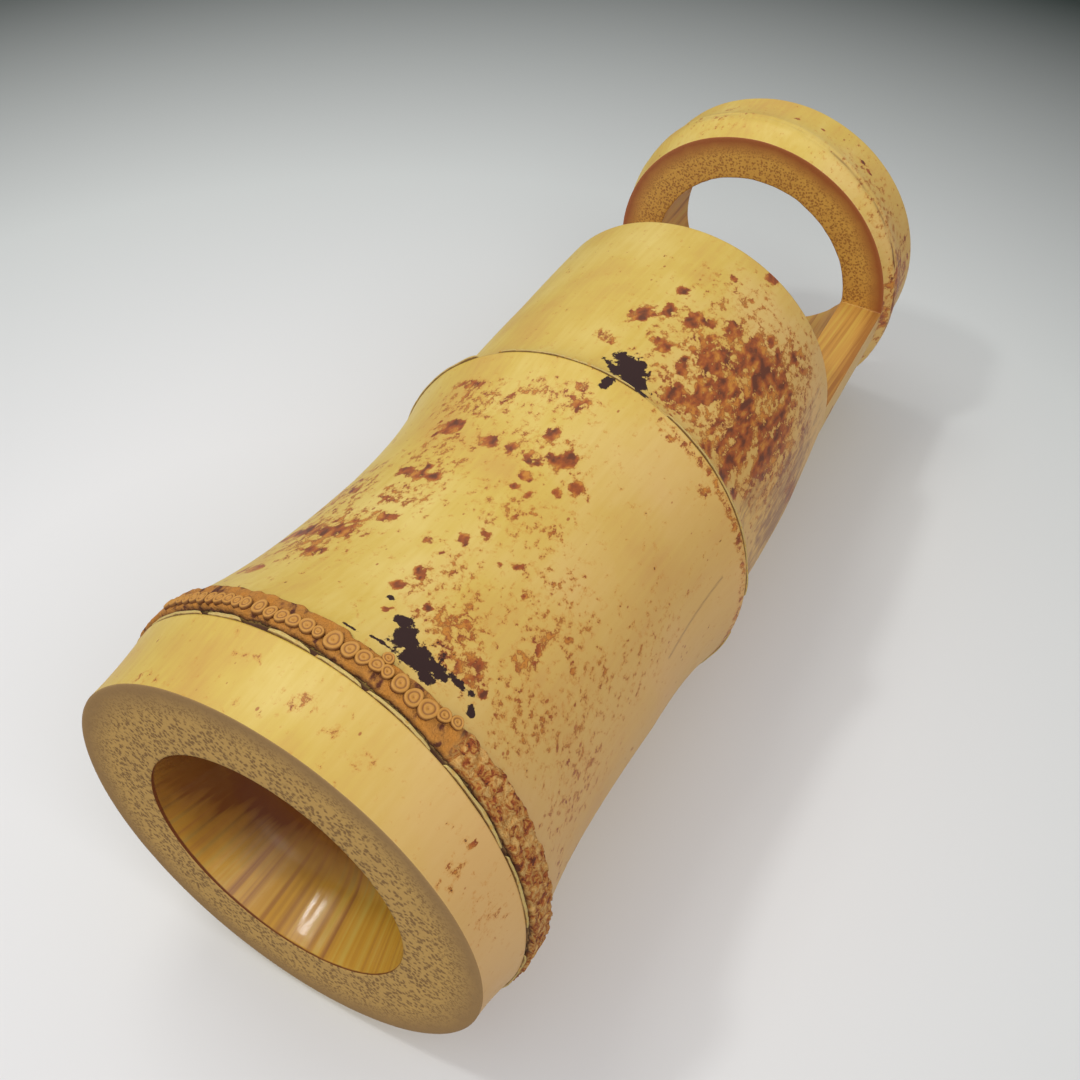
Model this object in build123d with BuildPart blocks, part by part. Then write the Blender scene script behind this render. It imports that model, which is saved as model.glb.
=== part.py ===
from build123d import *
import os
from math import cos, radians, sin

# A flower vase cut from one length of thick-walled bamboo. It stands on its
# sawn foot, with the window towards -Y and the back strap towards +Y.

# Lengths along the bamboo, in millimetres, from the foot up
foot_length = 17.2
lower_internode_length = 120.8
shoulder_length = 89.8
window_height = 59.9
ring_height = 30.3

# Plain radius of the bamboo, and how far its landmarks stand out or draw in
culm_radius = 55.3
foot_stand = 4.7
scar_stand = 7.0
ridge_stand = 4.1
mouth_taper = 2.2
ring_node_stand = 4.0
ring_end_taper = 0.9
ring_end_rounding = 2.0

# How far the ring's centre stands off the foot's, and the way it leans
lean = 7.7
lean_angle = 207.4

# The back, where the outline's seam runs down the strap
back_angle = 90.0

# Tilts of the node lines about X and Y, in degrees
scar_tilt = (-3.7, 1.6)
ridge_tilt = (-5.9, -1.7)
ring_node_tilt = (-0.7, 4.7)

# Grooves where the sheaths grew, and the root band above the first of them
scar_depth = 1.4
scar_width = 2.2
ridge_groove_depth = 1.3
ridge_groove_width = 1.3
ring_groove_depth = 1.0
ring_groove_width = 1.2
band_stand = 1.3
band_width = 9.4
band_edge = 1.0
flare_step = 0.8

# Walls of the bamboo and its natural hollow
foot_wall = 22.1
culm_wall = 17.7
recess_depth = 22.0
recess_dome = 5.0
recess_corner = 9.0
floor_thickness = 7.0
floor_corner = 3.0
ridge_ledge = 1.4
ridge_ledge_height = 4.0
cut_overrun = 10.0

# Papery remnants of the sheaths, in their grooves
lower_strip_height = 1.5
lower_strip_stand = 0.7
upper_strip_height = 0.8
upper_strip_stand = 0.5

# Root stubs on the band
stub_diameter = 4.3
stub_stand = 0.9
stub_root = 0.6
stub_core_share = 0.4
stub_core_depth = 0.35

# Water liner of thin sheet, with its top edge rolled round a wire
liner_play = 1.3
liner_wall = 0.8
liner_rim_drop = 6.0
liner_flange_height = 6.0
rim_wire_diameter = 2.0
rim_wire_clearance = 0.1
rim_roll_slit = 0.6

# Places of the landmarks within their stretch of bamboo
flare_share = 1.04
waist_share = 0.685
shoulder_share = 0.30
ring_node_share = 0.307
liner_lean_share = 0.45

# How sharply the outline bends beside each landmark: 1 is straight
foot_bend = 1.7
flare_bend = 3.0
rise_bend = 2.4
fall_bend = 4.5
shoulder_bend = 2.2
ring_rise_bend = 1.3
ring_fall_bend = 3.0
rounding_bend = 2.5
outline_steps = 6

# Share of the lean that the centre has reached, at shares of the height
bow_shares = (
    (0.0, 0.0),
    (0.09, 0.03),
    (0.19, -0.09),
    (0.30, -0.22),
    (0.43, -0.14),
    (0.52, 0.0),
    (0.60, 0.14),
    (0.72, 0.54),
    (0.82, 0.80),
    (0.905, 1.0),
    (1.0, 1.2),
)

# Arcs of the turn where strips of sheath are left: start and length
lower_strip_shares = (
    (0.02, 0.13),
    (0.17, 0.09),
    (0.29, 0.17),
    (0.48, 0.11),
    (0.61, 0.10),
    (0.73, 0.12),
    (0.86, 0.13),
)
upper_strip_shares = ((0.04, 0.20), (0.28, 0.14), (0.47, 0.19), (0.68, 0.12), (0.83, 0.17))

# Root stubs: shares of the turn, of the band's width, and of the full diameter
stub_shares = (
    (0.6778, 0.24, 0.69),
    (0.6856, 0.25, 0.69),
    (0.6931, 0.28, 0.66),
    (0.7003, 0.26, 0.61),
    (0.7072, 0.27, 0.63),
    (0.7178, 0.28, 0.84),
    (0.7267, 0.23, 0.73),
    (0.7347, 0.27, 0.71),
    (0.7428, 0.29, 0.74),
    (0.7517, 0.35, 0.80),
    (0.7594, 0.33, 0.60),
    (0.7697, 0.37, 1.00),
    (0.7806, 0.40, 0.84),
    (0.7894, 0.45, 0.77),
    (0.7975, 0.51, 0.64),
    (0.8000, 0.94, 0.60),
    (0.8044, 0.55, 0.60),
    (0.8139, 0.53, 0.95),
    (0.8242, 0.46, 0.87),
    (0.8342, 0.52, 0.95),
    (0.8431, 0.76, 0.76),
    (0.8511, 0.91, 0.70),
)

# Radii of the landmarks
foot_radius = culm_radius + foot_stand
scar_radius = culm_radius + scar_stand
band_radius = scar_radius + band_stand
flare_radius = band_radius - band_edge - flare_step
ridge_radius = culm_radius + ridge_stand
mouth_radius = culm_radius - mouth_taper
ring_node_radius = mouth_radius + ring_node_stand
ring_end_radius = mouth_radius - ring_end_taper
recess_radius = foot_radius - foot_wall
bore_radius = culm_radius - culm_wall

# Heights of the landmarks above the foot
scar_level = foot_length
ridge_level = scar_level + lower_internode_length
mouth_level = ridge_level + shoulder_length
ring_level = mouth_level + window_height
vase_height = ring_level + ring_height
flare_level = scar_level + flare_share * band_width
waist_level = scar_level + waist_share * lower_internode_length
shoulder_level = ridge_level + shoulder_share * shoulder_length
ring_node_level = ring_level + ring_node_share * ring_height
ring_end_level = vase_height - ring_end_rounding
floor_level = recess_depth + recess_dome + floor_thickness
no_tilt = (0.0, 0.0)


def bow_at(level):
    """How far the centre of the bamboo stands off the foot's centre."""
    height_share = level / vase_height
    for low, high in zip(bow_shares, bow_shares[1:]):
        if height_share <= high[0] or high is bow_shares[-1]:
            part = (height_share - low[0]) / (high[0] - low[0])
            return lean * (low[1] + part * (high[1] - low[1]))


def leaned(distance, level):
    """A point that stands off the foot's axis, the way the bamboo leans."""
    turn = radians(lean_angle)
    return Vector(distance * cos(turn), distance * sin(turn), level)


def cross_plane(level, tilt):
    """A plane across the bamboo at its centre, tilted as its node lines are."""
    return Plane(leaned(bow_at(level), level)).rotated((*tilt, 0))


def turned(plane, angle):
    """A cross plane turned about its own axis."""
    x_dir = plane.x_dir * cos(radians(angle)) + plane.y_dir * sin(radians(angle))
    return Plane(plane.origin, x_dir=x_dir, z_dir=plane.z_dir)


def profile_plane(plane):
    """The upright plane through a cross plane's centre, for profiles to turn."""
    return Plane(plane.origin, x_dir=plane.x_dir, z_dir=-plane.y_dir)


def bends_late(rise, bend):
    """Share of the change of radius that is reached, most of it at the end."""
    return rise**bend


def bends_early(rise, bend):
    """Share of the change of radius that is reached, most of it at the start."""
    return 1 - (1 - rise) ** bend


def sections(start, end, curve, bend):
    """Cross planes and radii of the outline between two landmarks."""
    start_level, start_radius, start_tilt = start
    end_level, end_radius, end_tilt = end
    found = []
    for step in range(outline_steps + 1):
        rise = step / outline_steps
        tilt = [low + rise * (high - low) for low, high in zip(start_tilt, end_tilt)]
        level = start_level + rise * (end_level - start_level)
        radius = start_radius + curve(rise, bend) * (end_radius - start_radius)
        found.append((turned(cross_plane(level, tilt), back_angle), radius))
    return found


# Landmarks of the outline: level, radius and tilt
foot = (0.0, foot_radius, no_tilt)
scar = (scar_level, scar_radius, scar_tilt)
flare = (flare_level, flare_radius, scar_tilt)
waist = (waist_level, culm_radius, no_tilt)
ridge = (ridge_level, ridge_radius, ridge_tilt)
shoulder = (shoulder_level, culm_radius, no_tilt)
mouth = (mouth_level, mouth_radius, no_tilt)
ring = (ring_level, mouth_radius, no_tilt)
ring_node = (ring_node_level, ring_node_radius, ring_node_tilt)
ring_end = (ring_end_level, ring_end_radius + ring_end_rounding, no_tilt)
ring_top = (vase_height, ring_end_radius, no_tilt)

stretches = (
    (foot, scar, bends_late, foot_bend),
    (scar, flare, bends_late, 1),
    (flare, waist, bends_early, flare_bend),
    (waist, ridge, bends_late, rise_bend),
    (ridge, shoulder, bends_early, fall_bend),
    (shoulder, mouth, bends_late, shoulder_bend),
    (mouth, ring, bends_late, 1),
    (ring, ring_node, bends_late, ring_rise_bend),
    (ring_node, ring_end, bends_early, ring_fall_bend),
    (ring_end, ring_top, bends_late, rounding_bend),
)

scar_plane = cross_plane(scar_level, scar_tilt)
ridge_plane = cross_plane(ridge_level, ridge_tilt)
ring_node_plane = cross_plane(ring_node_level, ring_node_tilt)
ring_centre = leaned(bow_at(ring_level), ring_level)

# Grooves of the sheaths: plane, radius of the floor, and width
grooves = (
    (scar_plane, scar_radius - scar_depth, scar_width),
    (ridge_plane, ridge_radius - ridge_groove_depth, ridge_groove_width),
    (ring_node_plane, ring_node_radius - ring_groove_depth, ring_groove_width),
)

# Hollow above the floor: level and radius
hollow = (
    (floor_level, bore_radius - floor_corner),
    (floor_level + floor_corner, bore_radius),
    (ridge_level - ridge_ledge_height, bore_radius),
    (ridge_level, bore_radius - ridge_ledge),
    (ridge_level + ridge_ledge_height, bore_radius),
    (mouth_level, bore_radius),
    (ring_level, bore_radius),
    (vase_height, bore_radius),
)

# The bamboo itself, one grown piece
with BuildPart() as culm:
    # Outside, one stretch after another from foot to ring
    for start, end, curve, bend in stretches:
        for plane, radius in sections(start, end, curve, bend):
            with BuildSketch(plane):
                Circle(radius)
        loft()
    # Grooves of the sheaths
    for plane, floor_radius, width in grooves:
        with BuildSketch(plane):
            Circle(floor_radius + cut_overrun)
            Circle(floor_radius, mode=Mode.SUBTRACT)
        extrude(amount=width, mode=Mode.SUBTRACT)
    # Root band above the first node
    with BuildSketch(profile_plane(scar_plane)):
        with BuildLine():
            Polyline(
                (0, scar_width),
                (band_radius - band_edge, scar_width),
                (band_radius, scar_width + band_edge),
                (band_radius, band_width - band_edge),
                (band_radius - band_edge, band_width),
                (0, band_width),
                close=True,
            )
        make_face()
    revolve(axis=Axis(scar_plane.origin, scar_plane.z_dir))
    # Hollow of the foot, closed by the domed wall of the first node
    with BuildSketch(Plane.XZ):
        with BuildLine():
            Line((0, recess_depth + recess_dome), (0, -cut_overrun))
            Line((0, -cut_overrun), (recess_radius, -cut_overrun))
            Line((recess_radius, -cut_overrun), (recess_radius, recess_depth))
            TangentArc((0, recess_depth + recess_dome), (recess_radius, recess_depth), tangent=(1, 0))
        make_face()
        outer_corners = vertices().group_by(Axis.X)[-1]
        fillet(outer_corners.sort_by(Axis.Y)[-1], recess_corner)
    revolve(axis=Axis.Z, mode=Mode.SUBTRACT)
    # Hollow from the floor up through the ring
    for level, radius in hollow:
        with BuildSketch(turned(cross_plane(level, no_tilt), back_angle)):
            Circle(radius)
    loft(ruled=True, mode=Mode.SUBTRACT)
    # Window, sawn square to the strap at mouth and ring
    with BuildSketch(Plane.XZ.offset(-ring_centre.Y)):
        with Locations((0, mouth_level)):
            Rectangle(2 * (culm_radius + cut_overrun), window_height, align=(Align.CENTER, Align.MIN))
    extrude(amount=culm_radius + cut_overrun, mode=Mode.SUBTRACT)
culm.part.label = "culm"


def sheath_strips(plane, floor_radius, outer_radius, height, arc_shares):
    """Strips of sheath that stand in a groove, each over its arc of the turn."""
    with BuildPart() as strips:
        for start_share, length_share in arc_shares:
            with BuildSketch(profile_plane(turned(plane, 360 * start_share))):
                with Locations((floor_radius, 0)):
                    Rectangle(outer_radius - floor_radius, height, align=(Align.MIN, Align.MIN))
            revolve(axis=Axis(plane.origin, plane.z_dir), revolution_arc=360 * length_share)
    return strips.part


lower_sheath_remnant = sheath_strips(
    scar_plane,
    scar_radius - scar_depth,
    scar_radius + lower_strip_stand,
    lower_strip_height,
    lower_strip_shares,
)
lower_sheath_remnant.label = "lower_sheath_remnant"

upper_sheath_remnant = sheath_strips(
    ridge_plane,
    ridge_radius - ridge_groove_depth,
    ridge_radius + upper_strip_stand,
    upper_strip_height,
    upper_strip_shares,
)
upper_sheath_remnant.label = "upper_sheath_remnant"

# Root stubs, each at its own place in the row
with BuildPart() as root_stubs:
    for turn_share, row_share, diameter_share in stub_shares:
        spoke = turned(scar_plane, 360 * turn_share)
        climb = scar_width + row_share * (band_width - scar_width)
        middle = spoke.origin + spoke.z_dir * climb + spoke.x_dir * (band_radius - stub_root)
        seat = Plane(middle, x_dir=spoke.y_dir, z_dir=spoke.x_dir)
        with BuildSketch(seat):
            Circle(stub_diameter * diameter_share / 2)
        extrude(amount=stub_root + stub_stand)
        with BuildSketch(seat.offset(stub_root + stub_stand)):
            Circle(stub_diameter * diameter_share * stub_core_share / 2)
        extrude(amount=-stub_core_depth, mode=Mode.SUBTRACT)
    # Their backs lie on the band
    with BuildSketch(scar_plane):
        Circle(band_radius)
    extrude(amount=band_width, mode=Mode.SUBTRACT)
root_stubs.part.label = "root_stubs"

# The liner stands on the floor and clears the ring when it is lifted out
liner_shift = liner_lean_share * lean
liner_plane = Plane(leaned(liner_shift, floor_level))
liner_axis = Axis(liner_plane.origin, liner_plane.z_dir)
liner_rim_radius = bore_radius - (bow_at(vase_height) - liner_shift) - liner_play
roll_bore_radius = rim_wire_diameter / 2 + rim_wire_clearance
roll_radius = roll_bore_radius + liner_wall
roll_centre = liner_rim_radius - roll_radius
liner_bore_radius = roll_centre - roll_radius
liner_radius = liner_bore_radius + liner_wall
roll_level = mouth_level - liner_rim_drop - roll_radius - floor_level

with BuildPart() as liner_tube:
    with BuildSketch(profile_plane(liner_plane)):
        with Locations((roll_centre, roll_level)):
            Circle(roll_radius)
        with Locations((liner_bore_radius, 0)):
            Rectangle(liner_wall, roll_level, align=(Align.MIN, Align.MIN))
        with Locations((roll_centre, roll_level)):
            Circle(roll_bore_radius, mode=Mode.SUBTRACT)
        with Locations((liner_radius, roll_level)):
            Rectangle(rim_roll_slit, roll_radius, align=(Align.MIN, Align.MAX), mode=Mode.SUBTRACT)
    revolve(axis=liner_axis)
liner_tube.part.label = "liner_tube"

with BuildPart() as liner_rim_wire:
    with BuildSketch(profile_plane(liner_plane)):
        with Locations((roll_centre, roll_level)):
            Circle(rim_wire_diameter / 2)
    revolve(axis=liner_axis)
liner_rim_wire.part.label = "liner_rim_wire"

with BuildPart() as liner_base:
    with BuildSketch(liner_plane):
        Circle(liner_bore_radius)
    extrude(amount=liner_flange_height)
    with BuildSketch(liner_plane.offset(liner_wall)):
        Circle(liner_bore_radius - liner_wall)
    extrude(amount=liner_flange_height, mode=Mode.SUBTRACT)
liner_base.part.label = "liner_base"

os.makedirs("parts", exist_ok=True)
export_step(culm.part, "parts/culm.step")
export_step(lower_sheath_remnant, "parts/lower_sheath_remnant.step")
export_step(upper_sheath_remnant, "parts/upper_sheath_remnant.step")
export_step(root_stubs.part, "parts/root_stubs.step")
export_step(liner_tube.part, "parts/liner_tube.step")
export_step(liner_rim_wire.part, "parts/liner_rim_wire.step")
export_step(liner_base.part, "parts/liner_base.step")
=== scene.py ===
import itertools
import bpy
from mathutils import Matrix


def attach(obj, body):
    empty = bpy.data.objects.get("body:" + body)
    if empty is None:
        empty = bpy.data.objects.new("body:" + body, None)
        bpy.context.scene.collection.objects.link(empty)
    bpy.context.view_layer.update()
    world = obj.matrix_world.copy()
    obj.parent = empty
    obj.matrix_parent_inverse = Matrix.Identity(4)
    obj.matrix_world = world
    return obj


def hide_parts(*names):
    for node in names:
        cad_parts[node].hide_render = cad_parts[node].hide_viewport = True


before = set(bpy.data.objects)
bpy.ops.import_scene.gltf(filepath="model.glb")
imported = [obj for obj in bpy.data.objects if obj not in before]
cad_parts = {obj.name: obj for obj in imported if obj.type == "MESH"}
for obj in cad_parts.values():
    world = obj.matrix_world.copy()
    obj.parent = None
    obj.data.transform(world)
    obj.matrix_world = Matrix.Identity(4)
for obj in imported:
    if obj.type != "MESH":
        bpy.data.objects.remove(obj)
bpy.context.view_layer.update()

from types import SimpleNamespace

import bpy
import numpy as np
from mathutils import Matrix

bl_info = {
    "name": "Bamboo flower vase",
    "version": (1, 0, 0),
    "blender": (4, 5, 0),
    "location": "3D View > Sidebar > Bamboo vase",
    "description": "Flower vase cut from one length of bamboo, on a plain studio stage",
    "category": "Add Mesh",
}

MM = 0.001
FULL_TURN, HALF_TURN = 360.0, 180.0
# Points round the bamboo, and millimetres within which points are one
COLUMNS = 720
WELD = 0.002
# Millimetres by which the corners of sawn edges are drawn in
DRAWN_IN = 0.12
# Millimetres that the row of faces next to a sawn edge is high
EDGE_ROW = 0.4
# Places of the culm's materials in its list
SKIN, FOOT_GRAIN, OILED_GRAIN, INNER_WALL, SPLIT_FACE, HOLLOW = range(6)
MARKS = ("stain", "tar", "dusk", "cork", "crumb", "gap", "line", "share")


# ---- Colours, settings and nodes


def linear(hex_code, alpha=1.0):
    """Turn an sRGB hex colour into linear light."""
    parts = [int(hex_code[i : i + 2], 16) / 255 for i in (1, 3, 5)]
    return (*[p / 12.92 if p <= 0.04045 else ((p + 0.055) / 1.055) ** 2.4 for p in parts], alpha)


def length(name, millimetres, description):
    """A length that a user may change, given in millimetres."""
    return bpy.props.FloatProperty(
        name=name, description=description, default=millimetres * MM, unit="LENGTH", precision=4
    )


def colour(name, hex_code, description):
    """A colour that a user may change, given in sRGB hex."""
    shown = linear(hex_code)
    return bpy.props.FloatVectorProperty(
        name=name, description=description, default=shown, size=4, min=0, max=1, subtype="COLOR"
    )


class VaseSizes(bpy.types.PropertyGroup):
    """Sizes of the bamboo and of the pieces on it."""

    foot_length: length("Foot length", 17.2, "From the sawn foot to the first node")
    lower_internode: length("Lower internode", 120.8, "From the first node to the second")
    shoulder_length: length("Shoulder length", 89.8, "From the second node to the sawn mouth")
    window_height: length("Window height", 59.9, "From the mouth to the ring")
    ring_height: length("Ring height", 30.3, "Height of the ring at the top")
    culm_radius: length("Culm radius", 55.3, "Outer radius at the waist and the shoulder")
    foot_stand: length("Foot stand", 4.7, "How far the foot stands out from the waist")
    scar_stand: length("Scar stand", 7.0, "How far the first node stands out")
    ridge_stand: length("Ridge stand", 4.1, "How far the second node stands out")
    mouth_taper: length("Mouth taper", 2.2, "How far the mouth draws in")
    ring_stand: length("Ring stand", 4.0, "How far the ring's node stands out")
    ring_taper: length("Ring taper", 0.9, "How far the ring's end draws in")
    ring_rounding: length("Ring rounding", 2.0, "Rounding of the ring's end")
    lean: length("Lean", 7.7, "How far the ring's centre stands off the foot's")
    foot_wall: length("Foot wall", 22.1, "Thickness of the wall at the foot")
    culm_wall: length("Culm wall", 17.7, "Thickness of the wall above the foot")
    recess_depth: length("Recess depth", 22.0, "Depth of the foot's hollow at its side")
    recess_dome: length("Recess dome", 5.0, "How much deeper the hollow is in the middle")
    recess_taper: length("Recess taper", 6.5, "How far the hollow narrows inwards")
    recess_corner: length("Recess corner", 11.0, "Rounding between the hollow's wall and its end")
    floor_thickness: length("Floor thickness", 7.0, "Thickness of the node wall over the hollow")
    groove_depth: length("Groove depth", 1.4, "Depth of the first node's groove")
    groove_width: length("Groove width", 2.2, "Width of the first node's groove")
    ridge_groove: length("Ridge groove", 0.8, "Depth and width of the second node's groove")
    ring_groove: length("Ring groove", 0.9, "Depth of the ring's groove")
    band_stand: length("Band stand", 1.3, "How far the root band stands out from the node")
    band_width: length("Band width", 9.4, "Width of the root band and its groove")
    stub_stand: length("Stub stand", 0.9, "How far a root stub stands out from the band")
    strip_stand: length("Strip stand", 0.6, "How far the sheath strips stand out from the lip")
    liner_radius: length("Liner radius", 27.5, "Outer radius of the water liner")
    liner_roll: length("Liner roll", 1.9, "Radius of the liner's rolled rim")
    liner_sheet: length("Liner sheet", 0.8, "Thickness of the liner's sheet")
    liner_drop: length("Liner drop", 6.0, "How far the liner's rim lies below the mouth")
    liner_flange: length("Liner flange", 6.0, "Height of the flange of the liner's base")


class VaseColours(bpy.types.PropertyGroup):
    """Colours of the bamboo and of the pieces on it."""

    straw: colour("Straw", "#cdb04e", "Waxed skin of the dried bamboo")
    straw_pale: colour("Pale straw", "#d9c26c", "Skin where it is palest")
    straw_deep: colour("Deep straw", "#c59c48", "Skin where it has darkened")
    # Tan: handled wear, and painted shade on the right-hand side away from the key lamp
    tan: colour("Tan", "#cc9d62", "Skin where wear has made it pinker")
    amber: colour("Amber", "#c07e28", "Thin stain round the mottles")
    rust: colour("Rust", "#994711", "Mottles on the skin")
    umber: colour("Umber", "#571f0c", "Dark hearts and rims of the mottles")
    tar: colour("Tar", "#2b100a", "Black patches on the skin")
    dusk: colour("Dusk", "#7c4f3a", "Grey-brown weathered streaks")
    cork: colour("Cork", "#b67b30", "Corky band of the roots")
    cork_pale: colour("Pale cork", "#d2a860", "Broken grains of the corky band")
    cork_dark: colour("Dark cork", "#5c2b12", "Cracks of the corky band")
    groove: colour("Groove", "#4e2e14", "Grooves of the nodes")
    end_grain: colour("End grain", "#bd9852", "Ground between the fibre bundles of the foot")
    end_dots: colour("End dots", "#87673a", "Fibre bundles in the foot's end grain")
    end_rim: colour("End rim", "#9a7a4a", "Dense outer end grain of the foot")
    ring_grain: colour("Ring grain", "#cf9c43", "Inner end grain of the ring")
    ring_rim: colour("Ring rim", "#9a5524", "Dense outer end grain of the ring")
    split: colour("Split wood", "#c29040", "Strap's face sawn along the fibres")
    split_dark: colour("Split fibres", "#a06a2c", "Dark fibres in the strap's face")
    lacquer: colour("Lacquer", "#c8942c", "Wall of the foot's hollow under its lacquer")
    # Dark lacquer: the node wall's own tone, and painted shade far into the hollow
    lacquer_dark_and_shade: colour("Dark lacquer", "#6a3410", "Node wall in the foot's hollow")
    sheath: colour("Sheath", "#ccb46e", "Papery remnants of the sheaths")
    sheath_edge: colour("Sheath edge", "#6e4520", "Torn edges of the sheaths")
    stub: colour("Stub", "#bd8634", "Root stubs, cut flush")
    stub_ring: colour("Stub ring", "#7f4b1b", "Rings of the root stubs")
    copper: colour("Copper", "#b8754d", "Sheet of the water liner")
    copper_dark: colour("Dark copper", "#6b3d28", "Tarnish on the liner")
    stage_near: colour("Stage, near", "#dfe1e1", "Backdrop close to the foot")
    shelf: colour("Shelf", "#f4f4f2", "Shelf under the foot")
    # Middle and far backdrop colours are painted shade of the light's falloff
    stage_middle_shade: colour("Stage, middle", "#c6cbc9", "Backdrop behind the ring")
    stage_far_shade: colour("Stage, far", "#323a37", "Backdrop at its far end")


def feed(node, inputs):
    """Set a node's inputs, or link them to other nodes."""
    for socket, value in inputs.items():
        if isinstance(value, bpy.types.NodeSocket):
            node.id_data.links.new(value, node.inputs[socket])
        else:
            node.inputs[socket].default_value = value


def add(tree, kind, inputs=(), stops=(), out=None, **settings):
    """Add a shader node with its settings, feed its inputs, and return one of its outputs."""
    made = tree.nodes.new("ShaderNode" + kind)
    for key, value in settings.items():
        setattr(made, key, value)
    for place, stop in enumerate(stops):
        ramp = made.color_ramp.elements
        step = ramp[place] if place < 2 else ramp.new(stop[0])
        step.position, step.color = stop
    feed(made, dict(inputs))
    if out:
        return made.outputs[out]
    return next((socket for socket in made.outputs if socket.enabled), None)


def fresh_material(name):
    """An empty material with its output and main shader."""
    material = bpy.data.materials.new(name)
    material.use_nodes = True
    tree = material.node_tree
    tree.nodes.clear()
    surface = add(tree, "BsdfPrincipled")
    add(tree, "OutputMaterial", {"Surface": surface})
    return material, tree, surface.node


def place_in_mm(tree, along=1.0):
    """Place on the object in millimetres, squeezed along the fibres by a share."""
    where = add(tree, "TexCoord", out="Object")
    scale = (1 / MM, 1 / MM, along / MM)
    return add(tree, "VectorMath", {0: where, 1: scale}, operation="MULTIPLY")


# ---- Noise, the same on every run


def hashed(cells, seed):
    """A number from 0 to 1 for each whole-number cell."""
    mixed = cells[..., 0] * 73856093 ^ cells[..., 1] * 19349663 ^ cells[..., 2] * 83492791
    mixed = (mixed ^ (seed * 40503)) * 1274126177
    mixed = (mixed ^ (mixed >> 15)) * 2246822519
    return ((mixed ^ (mixed >> 13)) & 0xFFFFFF) / 0xFFFFFF


def noise(points, size, seed):
    """Smooth noise from -1 to 1, with lumps of a size in millimetres."""
    place = points / size
    corner = np.floor(place).astype(np.int64)
    part = place - corner
    part = part * part * (3 - 2 * part)
    total = 0.0
    for offset in itertools.product((0, 1), repeat=3):
        weight = np.prod(np.where(offset, part, 1 - part), axis=-1)
        total = total + weight * hashed(corner + offset, seed)
    return 2 * total - 1


def walk_round(turns, radius, rise=0.0):
    """Places on a tube, for noise that follows the turn round the bamboo."""
    spin = np.radians(turns)
    return radius * np.stack([np.cos(spin), np.sin(spin), rise + 0 * spin], axis=-1)


def grains(points, size, seed):
    """Distance to the nearest of many scattered grains, and that grain's number."""
    place = points / size
    corner = np.floor(place).astype(np.int64)
    nearest = np.full(points.shape[:-1], 9.0)
    number = np.zeros_like(nearest)
    for offset in itertools.product((-1, 0, 1), repeat=3):
        cell = corner + offset
        heart = cell + np.stack([hashed(cell, seed + i) for i in range(3)], axis=-1)
        gap = np.linalg.norm(place - heart, axis=-1)
        number = np.where(gap < nearest, hashed(cell, seed + 3), number)
        nearest = np.minimum(gap, nearest)
    return nearest, number


def smooth(value, low, high):
    """A smooth step from 0 at low to 1 at high."""
    part = np.clip((value - low) / (high - low), 0, 1)
    return part * part * (3 - 2 * part)


def blend(low, high, share):
    """A mix of two values."""
    return low + (high - low) * share


# ---- Outline of the bamboo

# Share of the lean that the centre has reached, at shares of the height
BOW_SHARES = (
    (0, 0), (0.09, 0.03), (0.19, -0.09), (0.3, -0.22), (0.43, -0.14), (0.52, 0), (0.6, 0.14),
    (0.72, 0.54), (0.82, 0.8), (0.905, 1), (1, 1.2),
)
# Turn in degrees towards which the bamboo leans
LEAN_ANGLE = 207.4
# Share of the lean at which the liner's axis stands
LINER_LEAN_SHARE = 0.45
# Where the flare, waist, shoulder and ring's node lie, as shares of the stretch each is in
FLARE_SHARE, WAIST_SHARE, SHOULDER_SHARE, RING_NODE_SHARE = 1.04, 0.685, 0.30, 0.307
# Millimetres that the flare's radius is less than the root band's
FLARE_DRAW = 1.8
# Tilts of the cross sections about x and about y, in degrees
LEVEL = (0, 0)
SCAR_TILT = (-3.7, 1.6)
RIDGE_TILT = (-5.9, -1.7)
RING_TILT = (-0.7, 4.7)


def bends_late(rise, bend):
    """Share of the change that is reached, most of it at the end."""
    return rise**bend


def bends_early(rise, bend):
    """Share of the change that is reached, most of it at the start."""
    return 1 - (1 - rise) ** bend


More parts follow.
